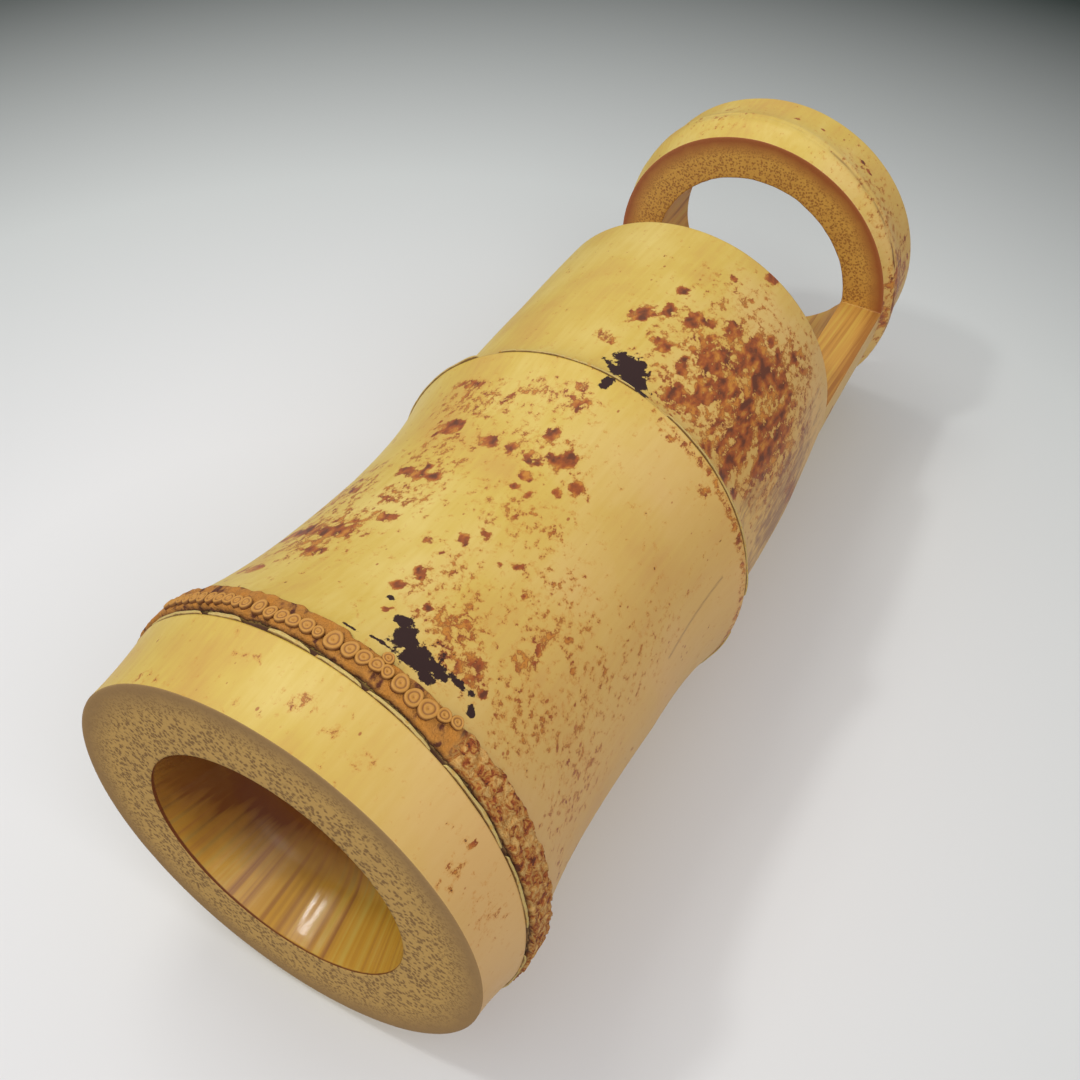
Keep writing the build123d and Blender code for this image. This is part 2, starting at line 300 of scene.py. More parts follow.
class Outline:
    """The bamboo's centre, tilt and radius at each height, in millimetres."""

    def __init__(self, sizes):
        names = VaseSizes.__annotations__
        size = SimpleNamespace(**{name: getattr(sizes, name) / MM for name in names})
        self.size = size
        self.scar = size.foot_length
        self.ridge = self.scar + size.lower_internode
        self.mouth = self.ridge + size.shoulder_length
        self.ring = self.mouth + size.window_height
        self.top = self.ring + size.ring_height
        self.ring_node = self.ring + RING_NODE_SHARE * size.ring_height
        self.floor = size.recess_depth + size.recess_dome + size.floor_thickness
        self.foot_radius = size.culm_radius + size.foot_stand
        self.scar_radius = size.culm_radius + size.scar_stand
        self.band_radius = self.scar_radius + size.band_stand
        self.ridge_radius = size.culm_radius + size.ridge_stand
        self.mouth_radius = size.culm_radius - size.mouth_taper
        self.ring_radius = self.mouth_radius + size.ring_stand
        end_radius = self.mouth_radius - size.ring_taper
        self.recess_radius = self.foot_radius - size.foot_wall
        self.bore_radius = size.culm_radius - size.culm_wall
        end_rounding = size.ring_rounding
        flare = self.scar + FLARE_SHARE * size.band_width
        waist = self.scar + WAIST_SHARE * size.lower_internode
        shoulder = self.ridge + SHOULDER_SHARE * size.shoulder_length
        # Level, radius and tilt of each station, and how the outline bends on its way there
        self.stations = (
            (0.0, self.foot_radius, LEVEL, None, None),
            (self.scar, self.scar_radius, SCAR_TILT, bends_late, 1.7),
            (flare, self.band_radius - FLARE_DRAW, SCAR_TILT, bends_late, 1),
            (waist, size.culm_radius, LEVEL, bends_early, 3),
            (self.ridge, self.ridge_radius, RIDGE_TILT, bends_late, 2.4),
            (shoulder, size.culm_radius, LEVEL, bends_early, 4.5),
            (self.mouth, self.mouth_radius, LEVEL, bends_late, 2.2),
            (self.ring, self.mouth_radius, LEVEL, bends_late, 1),
            (self.ring_node, self.ring_radius, RING_TILT, bends_late, 1.3),
            (self.top - end_rounding, end_radius + end_rounding, LEVEL, bends_early, 3),
            (self.top, end_radius, LEVEL, bends_late, 2.5),
        )
        self.cut_y = self.centre(np.array([self.ring]))[0, 1]

    def leaned(self, distance, level):
        """Points that stand off the foot's axis, the way the bamboo leans."""
        turn = np.radians(LEAN_ANGLE)
        return np.stack([distance * np.cos(turn), distance * np.sin(turn), level], axis=-1)

    def centre(self, levels):
        """Places of the bamboo's centre."""
        shares, bows = np.array(BOW_SHARES).T
        return self.leaned(np.interp(levels / self.top, shares, bows) * self.size.lean, levels)

    def radius_and_tilt(self, levels):
        """Radii of the plain outline, and tilts of its cross sections."""
        radius = np.zeros_like(levels)
        tilt = np.zeros((*levels.shape, 2))
        for low, high in itertools.pairwise(self.stations):
            here = (levels >= low[0]) & (levels <= high[0])
            rise = (levels[here] - low[0]) / (high[0] - low[0])
            radius[here] = blend(low[1], high[1], high[3](rise, high[4]))
            tilt[here] = blend(np.array(low[2]), np.array(high[2]), rise[:, None])
        return radius, tilt

    def place(self, levels, turns, radii, tilted=True):
        """Points at levels (one per row), turns in degrees and radii."""
        tilt = self.radius_and_tilt(levels)[1] if tilted else np.zeros((len(levels), 2))
        about_x, about_y = np.radians(tilt).T[..., None]
        across = radii * np.cos(np.radians(turns))
        ahead = radii * np.sin(np.radians(turns))
        x = across * np.cos(about_y)
        y = across * np.sin(about_x) * np.sin(about_y) + ahead * np.cos(about_x)
        z = -across * np.cos(about_x) * np.sin(about_y) + ahead * np.sin(about_x)
        return np.stack([x, y, z], axis=-1) + self.centre(levels)[:, None, :]

    def turns(self, levels, radii):
        """Turns of the columns of points, half of them on the strap's side of the window's cut."""
        held = np.clip(levels, self.mouth, self.ring)
        start = np.degrees(np.arcsin((self.cut_y - self.centre(held)[:, 1]) / radii))[:, None]
        back = np.linspace(0, 1, COLUMNS // 2 + 1)
        behind = start + back * (HALF_TURN - 2 * start)
        front = HALF_TURN - start + back * (HALF_TURN + 2 * start)
        return np.concatenate([behind, front[:, 1:]], axis=1)


# ---- Meshes from grids of points


def placed(name, data):
    """A new object in the scene, made from its data."""
    thing = bpy.data.objects.new(name, data)
    bpy.context.scene.collection.objects.link(thing)
    return thing


def make_piece(name, patches, materials, body, replaced):
    """Weld patches of grid points, in millimetres, into one piece that rides on a body."""
    points, quads, kinds, marks = [], [], [], {kind: [] for kind in MARKS}
    start = 0
    for patch in patches:
        grid = patch["points"]
        rows, columns = grid.shape[:2]
        index = start + np.arange(rows * columns).reshape(rows, columns)
        corners = [index[:-1, :-1], index[:-1, 1:], index[1:, 1:], index[1:, :-1]]
        if patch.get("flip"):
            corners.reverse()
        quads.append(np.stack(corners, axis=-1).reshape(-1, 4))
        points.append(grid.reshape(-1, 3))
        kinds.append(np.full(len(quads[-1]), patch.get("material", SKIN)))
        start += rows * columns
        for kind in MARKS:
            value = patch.get(kind, 0.0)
            marks[kind].append(np.broadcast_to(value, (rows, columns)).ravel())
    points = np.concatenate(points)
    keys = np.round(points / WELD).astype(np.int64)
    _, first, same = np.unique(keys, axis=0, return_index=True, return_inverse=True)
    quads = same.reshape(-1)[np.concatenate(quads)]
    kinds = np.concatenate(kinds)
    keep = quads != np.roll(quads, -1, axis=1)
    totals = keep.sum(axis=1)
    sound = totals >= 3
    quads, keep, kinds, totals = quads[sound], keep[sound], kinds[sound], totals[sound]
    loops = quads[keep]
    mesh = bpy.data.meshes.new(name)
    mesh.vertices.add(len(first))
    mesh.vertices.foreach_set("co", (points[first] * MM).astype(np.float32).ravel())
    mesh.loops.add(len(loops))
    mesh.loops.foreach_set("vertex_index", loops.astype(np.int32))
    mesh.polygons.add(len(totals))
    mesh.polygons.foreach_set("loop_start", (np.cumsum(totals) - totals).astype(np.int32))
    mesh.polygons.foreach_set("material_index", kinds.astype(np.int32))
    mesh.polygons.foreach_set("use_smooth", np.ones(len(totals), bool))
    mesh.update(calc_edges=True)
    for kind, values in marks.items():
        values = np.concatenate(values)
        if values.any():
            layer = mesh.attributes.new(kind, "FLOAT", "POINT")
            layer.data.foreach_set("value", values[first].astype(np.float32))
    if mesh.validate():
        raise RuntimeError(f"{name} has faces that don't join up")
    for material in materials:
        mesh.materials.append(material)
    piece = placed(name, mesh)
    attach(piece, body)
    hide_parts(*replaced)


def joined_steps(end, *stretches):
    """Levels up to an end, along stretches that are each given by their start and step."""
    ends = [start for start, _ in stretches[1:]] + [end]
    joined = [np.array([stretches[0][0]])]
    for (start, step), stop in zip(stretches, ends):
        joined.append(np.linspace(start, stop, max(1, round((stop - start) / step)) + 1)[1:])
    return np.concatenate(joined)


def softened(count, edge):
    """Shares from 0 to 1 whose first and last step are short, for softened edges."""
    return np.concatenate([[0.0], np.linspace(edge, 1 - edge, count), [1.0]])


def between(outer, inner, shares):
    """A sheet of points between two edges."""
    return outer[None] + (inner - outer)[None] * shares[:, None, None]


# ---- Marks on the skin

# Mottles: turn in degrees, height, half width round the bamboo, half length along it, strength
MOTTLES = (
    (-111.8, 111.3, 5, 4.6, 0.9), (-96.3, 107.5, 2.8, 2.9, 0.9), (-89.6, 108, 1.7, 1.6, 0.85),
    (-100.4, 125.4, 2.2, 2.2, 0.6), (-91.5, 122.3, 1.8, 1.7, 0.62), (-82.6, 117.6, 2, 2.3, 1),
    (-81.5, 107.4, 2.8, 2.2, 0.9), (-77, 110.8, 2.8, 3, 1.15), (-73.5, 113, 2.4, 2.4, 0.85),
    (-80.7, 100.5, 2.3, 2, 0.85), (-80.6, 96.9, 1.2, 1.4, 0.75), (-76.8, 96.2, 0.8, 1.2, 0.8),
    (-71.1, 101.8, 1.5, 1.8, 0.85), (-67.5, 106.1, 1.9, 3, 0.9), (-63.4, 106.1, 0.9, 0.9, 0.75),
    (-81.7, 131, 4, 3.8, 0.66), (-83.9, 137, 2.6, 2.6, 0.6), (-80.7, 73.2, 1.9, 2, 1),
    (-77.7, 78.3, 1.4, 1.3, 0.6), (-88, 69.3, 2.4, 2.2, 0.5), (-81.5, 66.3, 2.6, 2, 0.58),
    (-82.9, 57.5, 2.3, 2.1, 1.2), (-84, 51, 1.4, 1.6, 1.15), (-81.3, 42.5, 1.1, 1.2, 1.1),
    (-74.7, 49.7, 1, 1, 1.15), (-69.4, 72.8, 1.3, 1.1, 0.9), (-65.8, 75.8, 1.3, 1.3, 0.95),
    (-59.6, 70.3, 0.6, 0.6, 0.9), (-75, 87.8, 0.9, 1.1, 0.7), (-71.5, 91.6, 0.9, 1, 0.85),
    (-51.2, 87.6, 0.8, 0.9, 0.75), (-49, 55.5, 3.8, 3.6, 0.55), (-48.2, 63.7, 1.4, 4.2, 0.66),
    (-43.4, 71.2, 1.3, 1.6, 0.66), (-38.1, 66.1, 1.6, 1.7, 0.66), (-66.5, 50, 8, 8.5, 0.5),
    (-58, 43, 6, 6, 0.54), (-52.3, 40.3, 1.3, 1.5, 1.1), (-36, 48, 3, 6, 0.48),
    (-110, 89.5, 4.8, 2.8, 0.9), (-102.2, 89.1, 2.3, 1.7, 1.05), (-106, 92.5, 1.3, 1.1, 1.2),
    (-104.4, 77.2, 1.7, 1.1, 0.85), (-103, 70.3, 3.2, 2.8, 0.68), (-117.3, 130.4, 7.5, 2.2, 0.68),
    (-113.2, 62.6, 7, 3.8, 0.85), (-111.1, 52.8, 5, 2.2, 0.8), (-126.9, 61.8, 8.8, 2.8, 0.85),
    (-123.8, 43, 6.6, 2.2, 0.68), (-105.3, 70, 2.6, 1.8, 0.6), (-110.7, 77.9, 3.8, 1.4, 0.68),
    (-103.7, 77.4, 1.7, 1.2, 0.68), (-125.5, 82.6, 7, 2.4, 0.68), (-85.5, 177.8, 3.2, 3.8, 1.15),
    (-79.6, 184.1, 1.9, 3.2, 1), (-79.9, 195.1, 1.8, 2.1, 1), (-68, 213, 1.2, 1.4, 0.85),
    (-57.6, 225.3, 1.9, 3.2, 1.1), (-59.4, 210.4, 1.1, 2.1, 0.85), (-71.8, 185.2, 2.4, 3.4, 0.95),
    (-67, 189, 2, 2.6, 0.8), (-60.3, 193.5, 1.9, 3.4, 0.9), (-64, 180.5, 4.6, 5.8, 0.8),
    (-74.9, 169.9, 3.2, 3, 0.88), (-65.8, 167.2, 2.5, 3.8, 0.95), (-46.7, 203.3, 1.9, 3.6, 1.15),
    (-50.9, 171.5, 6, 8.6, 0.82), (-42.5, 176.6, 2.6, 3.8, 1.15), (-61.7, 156, 5, 6.5, 0.82),
    (-38.5, 167.7, 4.6, 6.4, 0.92), (-41.7, 188.8, 5.6, 8.2, 0.78), (-36, 209.8, 3.4, 5.2, 0.82),
    (-30.3, 210.1, 2.4, 3.6, 0.82), (-30.5, 198.2, 1.4, 2.4, 1), (-45.6, 150.3, 2.2, 3.4, 0.88),
    (-36.1, 149.4, 2.6, 3.6, 1), (-24.1, 172, 6.5, 8, 0.72), (-22.9, 186.7, 4.8, 6, 0.74),
    (-90.3, 162.4, 3, 2.6, 0.58), (-29.5, 149.3, 2.2, 3.2, 0.76), (-57, 139.5, 3.2, 1.6, 0.5),
    (-40, 137, 2.6, 2, 0.56), (-54, 307, 1.6, 0.9, 0.85), (-50, 305.5, 1.8, 0.7, 0.85),
    (-84, 305.7, 1.3, 0.7, 0.62), (-74, 306.8, 1, 0.6, 0.62), (-113, 307.2, 2.2, 0.7, 0.58),
    (-12, 295.6, 6, 0.7, 0.8), (-34, 13.5, 0.6, 1.6, 0.62),
)
# Wide, faint areas whose specks show through here and there, in the same terms
SPECKLED_AREAS = (
    (-64, 46, 13, 13, 0.4), (-42, 46, 10, 14, 0.34), (-30, 62, 10, 22, 0.3),
    (-14, 52, 10, 20, 0.34), (-52, 74, 14, 14, 0.3), (-22, 90, 12, 20, 0.24),
    (-76, 62, 10, 12, 0.32), (-74, 90, 14, 10, 0.3), (-82, 112, 16, 9, 0.34),
    (-106, 100, 12, 14, 0.36), (-104, 82, 10, 8, 0.42), (-118, 62, 15, 14, 0.44),
    (-128, 80, 12, 14, 0.42), (-112, 122, 16, 9, 0.4), (-90, 130, 14, 7, 0.34),
    (-60, 158, 18, 14, 0.4), (-72, 180, 12, 14, 0.36), (-58, 205, 16, 14, 0.34),
    (-32, 210, 12, 14, 0.42), (-18, 185, 10, 30, 0.42), (-34, 300, 26, 12, 0.3),
    (-6, 299, 18, 14, 0.64), (-112, 300, 14, 10, 0.24), (-34, 6, 2.6, 3.8, 0.29),
    (-63.6, 8, 2.8, 3, 0.27), (-95.6, 14, 3.4, 2, 0.28), (-80.5, 10.7, 3.4, 2.2, 0.27),
    (-71.9, 9.1, 2.4, 2, 0.27), (-18, 8, 8, 6, 0.2), (-118, 2.6, 4, 2.4, 0.29),
)
# Black patches, in the same terms
TAR_PATCHES = (
    (-70, 38, 9, 7, 0.34), (-77, 153, 7, 8, 0.34), (-77.6, 153.4, 5.4, 6.2, 1.1),
    (-81.8, 157.2, 2.4, 2.4, 1), (-73, 149.6, 4, 4.4, 1.1), (-84.6, 152.8, 2, 1.6, 0.9),
    (-70.8, 146.6, 2.4, 1.6, 0.9), (-79.4, 141.6, 1.9, 2.4, 0.95), (-83, 46.4, 1.3, 1, 0.85),
    (-76, 42.4, 2.6, 2, 1), (-73, 38.4, 3, 4.6, 1.1), (-68.6, 35.4, 4.4, 3.4, 1.1),
    (-63.5, 36.4, 3.2, 2, 1), (-58.4, 37.8, 2.8, 1.1, 0.9), (-64, 32.8, 1.6, 2.4, 1),
    (-76.5, 33.4, 3, 0.6, 0.95), (-83, 32.4, 2.4, 0.5, 0.85), (-54.6, 38, 1.2, 1.2, 0.95),
    (-52.3, 34.4, 1.3, 1.6, 0.95),
)
# Weathered streaks on the shoulder's right-hand side, in the same terms
DUSK_PATCHES = (
    (-8, 184, 9, 34, 0.75), (2, 175, 9, 34, 0.8), (-20, 160, 5, 16, 0.6), (-16, 205, 5, 16, 0.62),
    (8, 150, 6, 9, 0.7),
)
# Root stubs above the first node: turn in degrees, height and diameter
STUBS = (
    (-133, 25.3, 2.9), (-130.2, 25.4, 3), (-127.4, 25.5, 3.1), (-124.6, 25.4, 3.1),
    (-121.8, 25.6, 3.2), (-119, 25.5, 3.2), (-116, 25.6, 3.3), (-113.2, 25.7, 3.4),
    (-110.5, 25.9, 3.4), (-107.9, 25.7, 3.3), (-105.4, 25.8, 3.3), (-101.6, 25.8, 4),
    (-98.4, 25.4, 3.5), (-95.5, 25.6, 3.6), (-92.6, 25.7, 3.7), (-89.4, 26, 4), (-86.6, 25.8, 3),
    (-82.9, 25.9, 4.8), (-79, 26, 4.2), (-75.8, 26.2, 4), (-72.9, 26.5, 3.6), (-72, 29.4, 3),
    (-70.4, 26.6, 3.3), (-67, 26.3, 4.5), (-63.3, 25.6, 4.5), (-59.7, 25.8, 5), (-56.5, 27.3, 3.6),
    (-53.6, 28.2, 3.3),
)
# Strips of sheath in the first node's groove and at the second: first and last turn
LOWER_STRIPS = (
    (-140, -117), (-115, -104.4), (-97.2, -85.5), (-84.5, -72.5), (-71.5, -54), (-50.4, -28),
    (-26, -3.6), (7.2, 54), (61.2, 93.6), (104.4, 165.6), (172.8, 212.4),
)
UPPER_STRIPS = (
    (14.4, 86.4), (100.8, 151.2), (169.2, 237.6), (244.8, 288), (298.8, 360),
)


def around(turns, middle, radius):
    """Distance round the bamboo from a middle turn, in millimetres."""
    off = (turns - middle + HALF_TURN) % FULL_TURN - HALF_TURN
    return np.radians(off) * radius


def degrees_off(turns, middle):
    """Degrees round the bamboo from a middle turn."""
    return around(turns, middle, 1 / np.radians(1))


def spotted(turns, points, radius, spots, warp):
    """The strongest of several soft-edged, ragged spots at each point."""
    strength = np.zeros(turns.shape)
    for turn, height, half_width, half_length, peak in spots:
        along = (points[..., 2] - height) / half_length
        across = around(turns, turn, radius) / half_width
        reach = np.hypot(across, along) + warp
        strength = np.maximum(strength, peak * (1 - smooth(reach, 0.25, 1.65)))
    return strength


# The broad rust cloud on the shoulder: turn, height, half width and half length
RUST_CLOUD = (-42, 177, 29, 32)
# The turn at the middle of the side that the photograph doesn't show
HIDDEN_TURN = 100
# The crumbled stretch of the root band: its middle turn, and how far it reaches to each side
CRUMBLED_TURN, CRUMBLED_REACH = 49, 98
# The hairline crack: turn at its upper end, degrees per millimetre, lower and upper end
CRACK_TURN, CRACK_SLANT, CRACK_FOOT, CRACK_TOP = -15.1, 0.119, 99.6, 130.7


def skin_marks(outline, turns, points):
    """Mottles, black patches and weathered streaks on the skin."""
    radius = outline.size.culm_radius
    height = points[..., 2]
    ragged = 0.50 * noise(points, 2.4, 11) + 0.40 * noise(points, 1.1, 12)
    stain = spotted(turns, points, radius, MOTTLES + SPECKLED_AREAS, ragged)
    tar = spotted(turns, points, radius, TAR_PATCHES, 0.6 * ragged)
    # The rust gathers in one broad cloud on the shoulder, and is scattered wider behind
    streaks = noise(points * (1, 1, 0.45), 3.0, 13) + 0.6 * noise(points * (1, 1, 0.5), 1.4, 14)
    turn, level, half_width, half_length = RUST_CLOUD
    cloud = np.hypot(around(turns, turn, radius) / half_width, (height - level) / half_length)
    gathered = (1 - smooth(cloud, 0.55, 1.2)) * (0.66 + 0.42 * streaks)
    gathered = gathered * smooth(height, outline.ridge + 2, outline.ridge + 5)
    behind = smooth(np.abs(around(turns, HIDDEN_TURN, radius)), 115, 90)
    wild = noise(points, 17, 15) + 0.6 * noise(points, 6, 16) + 0.35 * streaks
    wild = 0.85 * behind * smooth(wild, 0.30, 1.1) * smooth(height, 31, 36)
    stain = np.maximum.reduce([stain, gathered, wild])
    dusk = spotted(turns, points, radius, DUSK_PATCHES, 0.5 * ragged)
    dusk = np.maximum(dusk, 0.5 * behind * smooth(noise(points * (1, 1, 0.3), 20, 19), 0.2, 0.8))
    dusk = dusk * (height > outline.ridge + 3) * (height < outline.ring)
    return np.clip(stain, 0, 1.3), np.clip(tar, 0, 1), np.clip(dusk, 0, 1)


def outer_surface(outline, levels):
    """Points and marks of the skin with its nodes and root band, one row per level."""
    size = outline.size
    plain, _ = outline.radius_and_tilt(levels)
    turns = outline.turns(levels, plain)
    radius = np.repeat(plain[:, None], turns.shape[1], axis=1)
    flat = outline.place(levels, turns, radius)
    walk = walk_round(turns, 60)
    # Grown unevenness of the whole length
    radius = radius + 0.22 * noise(flat, 34, 1) + 0.07 * noise(flat * (1, 1, 0.3), 7, 2) - 0.22
    # Root band: smooth beside the stubs, crumbled to their right
    above_scar = (levels - outline.scar)[:, None]
    crusty = smooth(np.abs(degrees_off(turns, CRUMBLED_TURN)), CRUMBLED_REACH + 3, CRUMBLED_REACH)
    low_edge = size.groove_width - 0.4 + 0.5 * noise(walk, 5, 3) + 0.25 * noise(walk, 1.8, 4)
    high_edge = size.band_width + 0.5 * noise(walk, 6, 5) + 0.45 * noise(walk, 2, 6)
    high_edge = high_edge + 1.2 * crusty
    inside = smooth(above_scar - low_edge, -0.35, 0.35) * smooth(high_edge - above_scar, -0.2, 0.8)
    near, number = grains(flat, 2.2, 20)
    small_near, small_number = grains(flat, 1.2, 30)
    crumbs = 0.55 * (number - 0.8) - 0.75 * near + 0.45 * (small_number - 0.5) - 0.35 * small_near
    smooth_band = -0.40 + 0.20 * noise(flat, 3.2, 7) + 0.10 * noise(flat, 1.3, 8)
    stand = blend(smooth_band, np.minimum(0.55 + crumbs, 0.0), crusty)
    radius = blend(radius, outline.band_radius + stand, inside)
    # Grooves of the nodes
    groove = smooth(above_scar, 0.0, 0.3) * smooth(low_edge - above_scar, -0.3, 0.3)
    in_groove = outline.scar_radius - size.groove_depth
    radius = blend(radius, in_groove + 0.2 * noise(flat, 2, 9), groove)
    above_ridge = (levels - outline.ridge)[:, None] + 0.15 * noise(walk, 4, 17)
    ridge_groove = smooth(above_ridge, 0.0, 0.3)
    ridge_groove = ridge_groove * smooth(size.ridge_groove - above_ridge, -0.35, 0.2)
    radius = radius - size.ridge_groove * ridge_groove
    above_ring = (levels - outline.ring_node)[:, None] + 0.3 * noise(walk, 5, 18)
    radius = radius - size.ring_groove * np.exp(-((above_ring / 1.5) ** 2))
    points = outline.place(levels, turns, radius)
    stain, tar, dusk = skin_marks(outline, turns, points)
    on_skin = 1 - np.maximum(inside, groove)
    # A thin brown line lies at the ring's node, mostly on the right; a band of painted shade lies
    # just under the second node's ridge, mostly on the right; and one hairline crack lies below
    rightward = smooth(np.abs(degrees_off(turns, -10)), 75, 35)
    ring_line = np.exp(-((above_ring / 0.55) ** 2)) * blend(0.10, 0.9, rightward)
    ring_line = ring_line * smooth(noise(walk, 7, 25), -0.6, 0.3)
    ridge_shade = 0.5 * np.exp(-(((above_ridge + 1.6) / 1.6) ** 2)) * rightward
    height = flat[..., 2]
    crack = degrees_off(turns, CRACK_TURN + (CRACK_TOP - height) * CRACK_SLANT) / 0.35
    crack = 0.5 * np.exp(-(crack**2)) * (height > CRACK_FOOT) * (height < CRACK_TOP)
    return {
        "points": points,
        "stain": np.maximum(stain, ridge_shade) * on_skin,
        "tar": tar * np.maximum(on_skin, 0.35),
        "dusk": dusk,
        "cork": inside,
        "crumb": crusty,
        "gap": np.maximum(groove, 0.85 * ridge_groove),
        "line": np.maximum(ring_line, crack),
    }


def bore_surface(outline, levels):
    """Points of the hollow's wall above the floor, one row per level."""
    # The hollow is a little narrower at the second node
    radius = outline.bore_radius - 1.4 * (1 - smooth(np.abs(levels - outline.ridge), 0, 4))
    turns = outline.turns(levels, radius)
    grid = np.repeat(radius[:, None], turns.shape[1], axis=1)
    flat = outline.place(levels, turns, grid, tilted=False)
    flutes = 0.16 * noise(flat * (1, 1, 0.06), 3.0, 21) + 0.12 * noise(flat * (1, 1, 0.2), 9, 22)
    return outline.place(levels, turns, grid + 0.1 + flutes, tilted=False)


def recess_profile(outline):
    """Radii and heights of the foot's hollow: tapered wall, rounded corner and dome."""
    size = outline.size
    depth, dome, corner = size.recess_depth, size.recess_dome, size.recess_corner
    end_radius = outline.recess_radius - size.recess_taper
    dome_radius = (end_radius**2 + dome**2) / (2 * dome)
    wall_turn = np.arctan(size.recess_taper / depth)
    dome_turn = np.pi / 2 - np.arcsin(end_radius / dome_radius)
    back = corner * np.tan((dome_turn - wall_turn) / 2)
    start = np.array([end_radius + np.sin(wall_turn) * back, depth - np.cos(wall_turn) * back])
    middle = start - corner * np.array([np.cos(wall_turn), np.sin(wall_turn)])
    rim = np.array([outline.recess_radius, DRAWN_IN])
    wall = [rim + (start - rim) * share for share in np.linspace(0, 1, 20)]
    swing = np.linspace(wall_turn, dome_turn, 14)[1:]
    bend = [middle + corner * np.array([np.cos(turn), np.sin(turn)]) for turn in swing]
    out = bend[-1][0] * np.linspace(1, 0, 20)[1:]
    over = depth + dome - dome_radius + np.sqrt(dome_radius**2 - out**2)
    return np.concatenate([wall, bend, np.stack([out, over], axis=-1)])


def recess_surface(outline):
    """Points of the foot's hollow, from its rim up the wall and over the node wall."""
    radii, heights = recess_profile(outline).T
    base = outline.turns(np.array([0.0]), np.array([outline.foot_radius]))
    turns = np.repeat(base, len(heights), axis=0)
    walk = walk_round(turns, 38, 0.004 * heights[:, None])
    flutes = 0.13 * noise(walk, 4.5, 23) + 0.05 * noise(walk, 1.7, 24) - 0.12
    fade = smooth(heights, 0.4, 3.0)[:, None] * smooth(radii, 6, 26)[:, None]
    grid = np.repeat(radii[:, None], COLUMNS + 1, axis=1) + flutes * fade
    points = outline.place(np.zeros(len(heights)), turns, grid, tilted=False)
    points[..., 2] += heights[:, None]
    points[:, -1] = points[:, 0]
    travelled = np.concatenate([[0], np.cumsum(np.hypot(np.diff(heights), np.diff(radii)))])
    return points, (travelled / travelled[-1])[:, None]


def culm_patches(outline):
    """The skins, hollows and sawn faces that close the culm all round."""
    half, fine = COLUMNS // 2, EDGE_ROW
    mouth, ring, top = outline.mouth, outline.ring, outline.top
    # Rows of points lie closest at the nodes and at the sawn edges
    low_steps = (0, 0.25), (0.5, 1), (15.5, 0.34), (31, 0.7), (60, 1), (128, 0.35), (148, 0.9)
    low_levels = joined_steps(mouth, *low_steps, (mouth - fine, fine))
    window_levels = joined_steps(ring, (mouth, fine), (mouth + fine, 1), (ring - fine, fine))
    ring_levels = joined_steps(top, (ring, fine), (ring + fine, 0.45), (top - 2, 0.25))
    bore_levels = joined_steps(mouth, (outline.floor, 4), (mouth - fine, fine))
    bore_ring_levels = joined_steps(top, (ring, fine), (ring + fine, 1.4), (top - fine, fine))
    levels = low_levels, window_levels, ring_levels
    skins = [outer_surface(outline, each) for each in levels]
    low, window, upper = (skin["points"] for skin in skins)
    levels = bore_levels, window_levels, bore_ring_levels
    bore_low, bore_window, bore_upper = (bore_surface(outline, each) for each in levels)
    # Sawn edges are softened by drawing their corners in
    edge = np.array([0, 0, DRAWN_IN])
    low[0] += edge
    bore_upper[-1] -= edge
    for grid, row, level, inward in (
        (low, -1, mouth, -edge),
        (bore_low, -1, mouth, -edge),
        (upper, 0, ring, edge),
        (bore_upper, 0, ring, edge),
    ):
        grid[row, half + 1 : COLUMNS] += inward
        # The window's corners lie on its sawn planes
        grid[row, [0, half, COLUMNS], 1:] = outline.cut_y, level
        grid[:, -1] = grid[:, 0]
    for grid in (window, bore_window):
        grid[:, [0, half], 1] = outline.cut_y
    window[0], window[-1] = low[-1], upper[0]
    bore_window[0], bore_window[-1] = bore_low[-1], bore_upper[0]
    # Sawn faces
    wall, wide = softened(20, 0.022), softened(24, 0.02)
    mouth_face = between(low[-1, half:], bore_low[-1, half:], wall)
    under_ring = between(upper[0, half:], bore_upper[0, half:], wall)
    top_face = between(upper[-1], bore_upper[-1], wide)
    mouth_face[1:-1, :, 2], under_ring[1:-1, :, 2], top_face[1:-1, :, 2] = mouth, ring, top
    cuts = [between(window[:, side], bore_window[:, side], wall) for side in (0, half)]
    for cut in cuts:
        cut[1:-1, :, 1] = outline.cut_y
        cut[1:-1, 0, 2], cut[1:-1, -1, 2] = mouth, ring
    mouth_face[:, 0], mouth_face[:, -1] = cuts[1][:, 0], cuts[0][:, 0]
    under_ring[:, 0], under_ring[:, -1] = cuts[1][:, -1], cuts[0][:, -1]
    recess, recess_share = recess_surface(outline)
    foot_face = between(low[0], recess[0], wide)
    foot_face[1:-1, :, 2] = 0.0
    middle = outline.centre(np.array([outline.floor]))
    floor_face = between(bore_low[0], middle, softened(6, 0.02))
    floor_face[..., 2] = outline.floor
    strap = slice(half + 1)
    skins[1] = {kind: value[:, strap] for kind, value in skins[1].items()}
    wall, wide = wall[:, None], wide[:, None]
    faces = (
        (bore_low, INNER_WALL, 0, True),
        (bore_window[:, strap], INNER_WALL, 0, True),
        (bore_upper, INNER_WALL, 0, True),
        (mouth_face, OILED_GRAIN, wall, False),
        (under_ring, OILED_GRAIN, wall, True),
        (top_face, OILED_GRAIN, wide, False),
        (cuts[0], SPLIT_FACE, wall, False),
        (cuts[1], SPLIT_FACE, wall, True),
        (foot_face, FOOT_GRAIN, wide, True),
        (recess, HOLLOW, recess_share, True),
        (floor_face, INNER_WALL, 0, False),
    )
    for points, material, share, flip in faces:
        skins.append({"points": points, "material": material, "share": share, "flip": flip})
    return skins


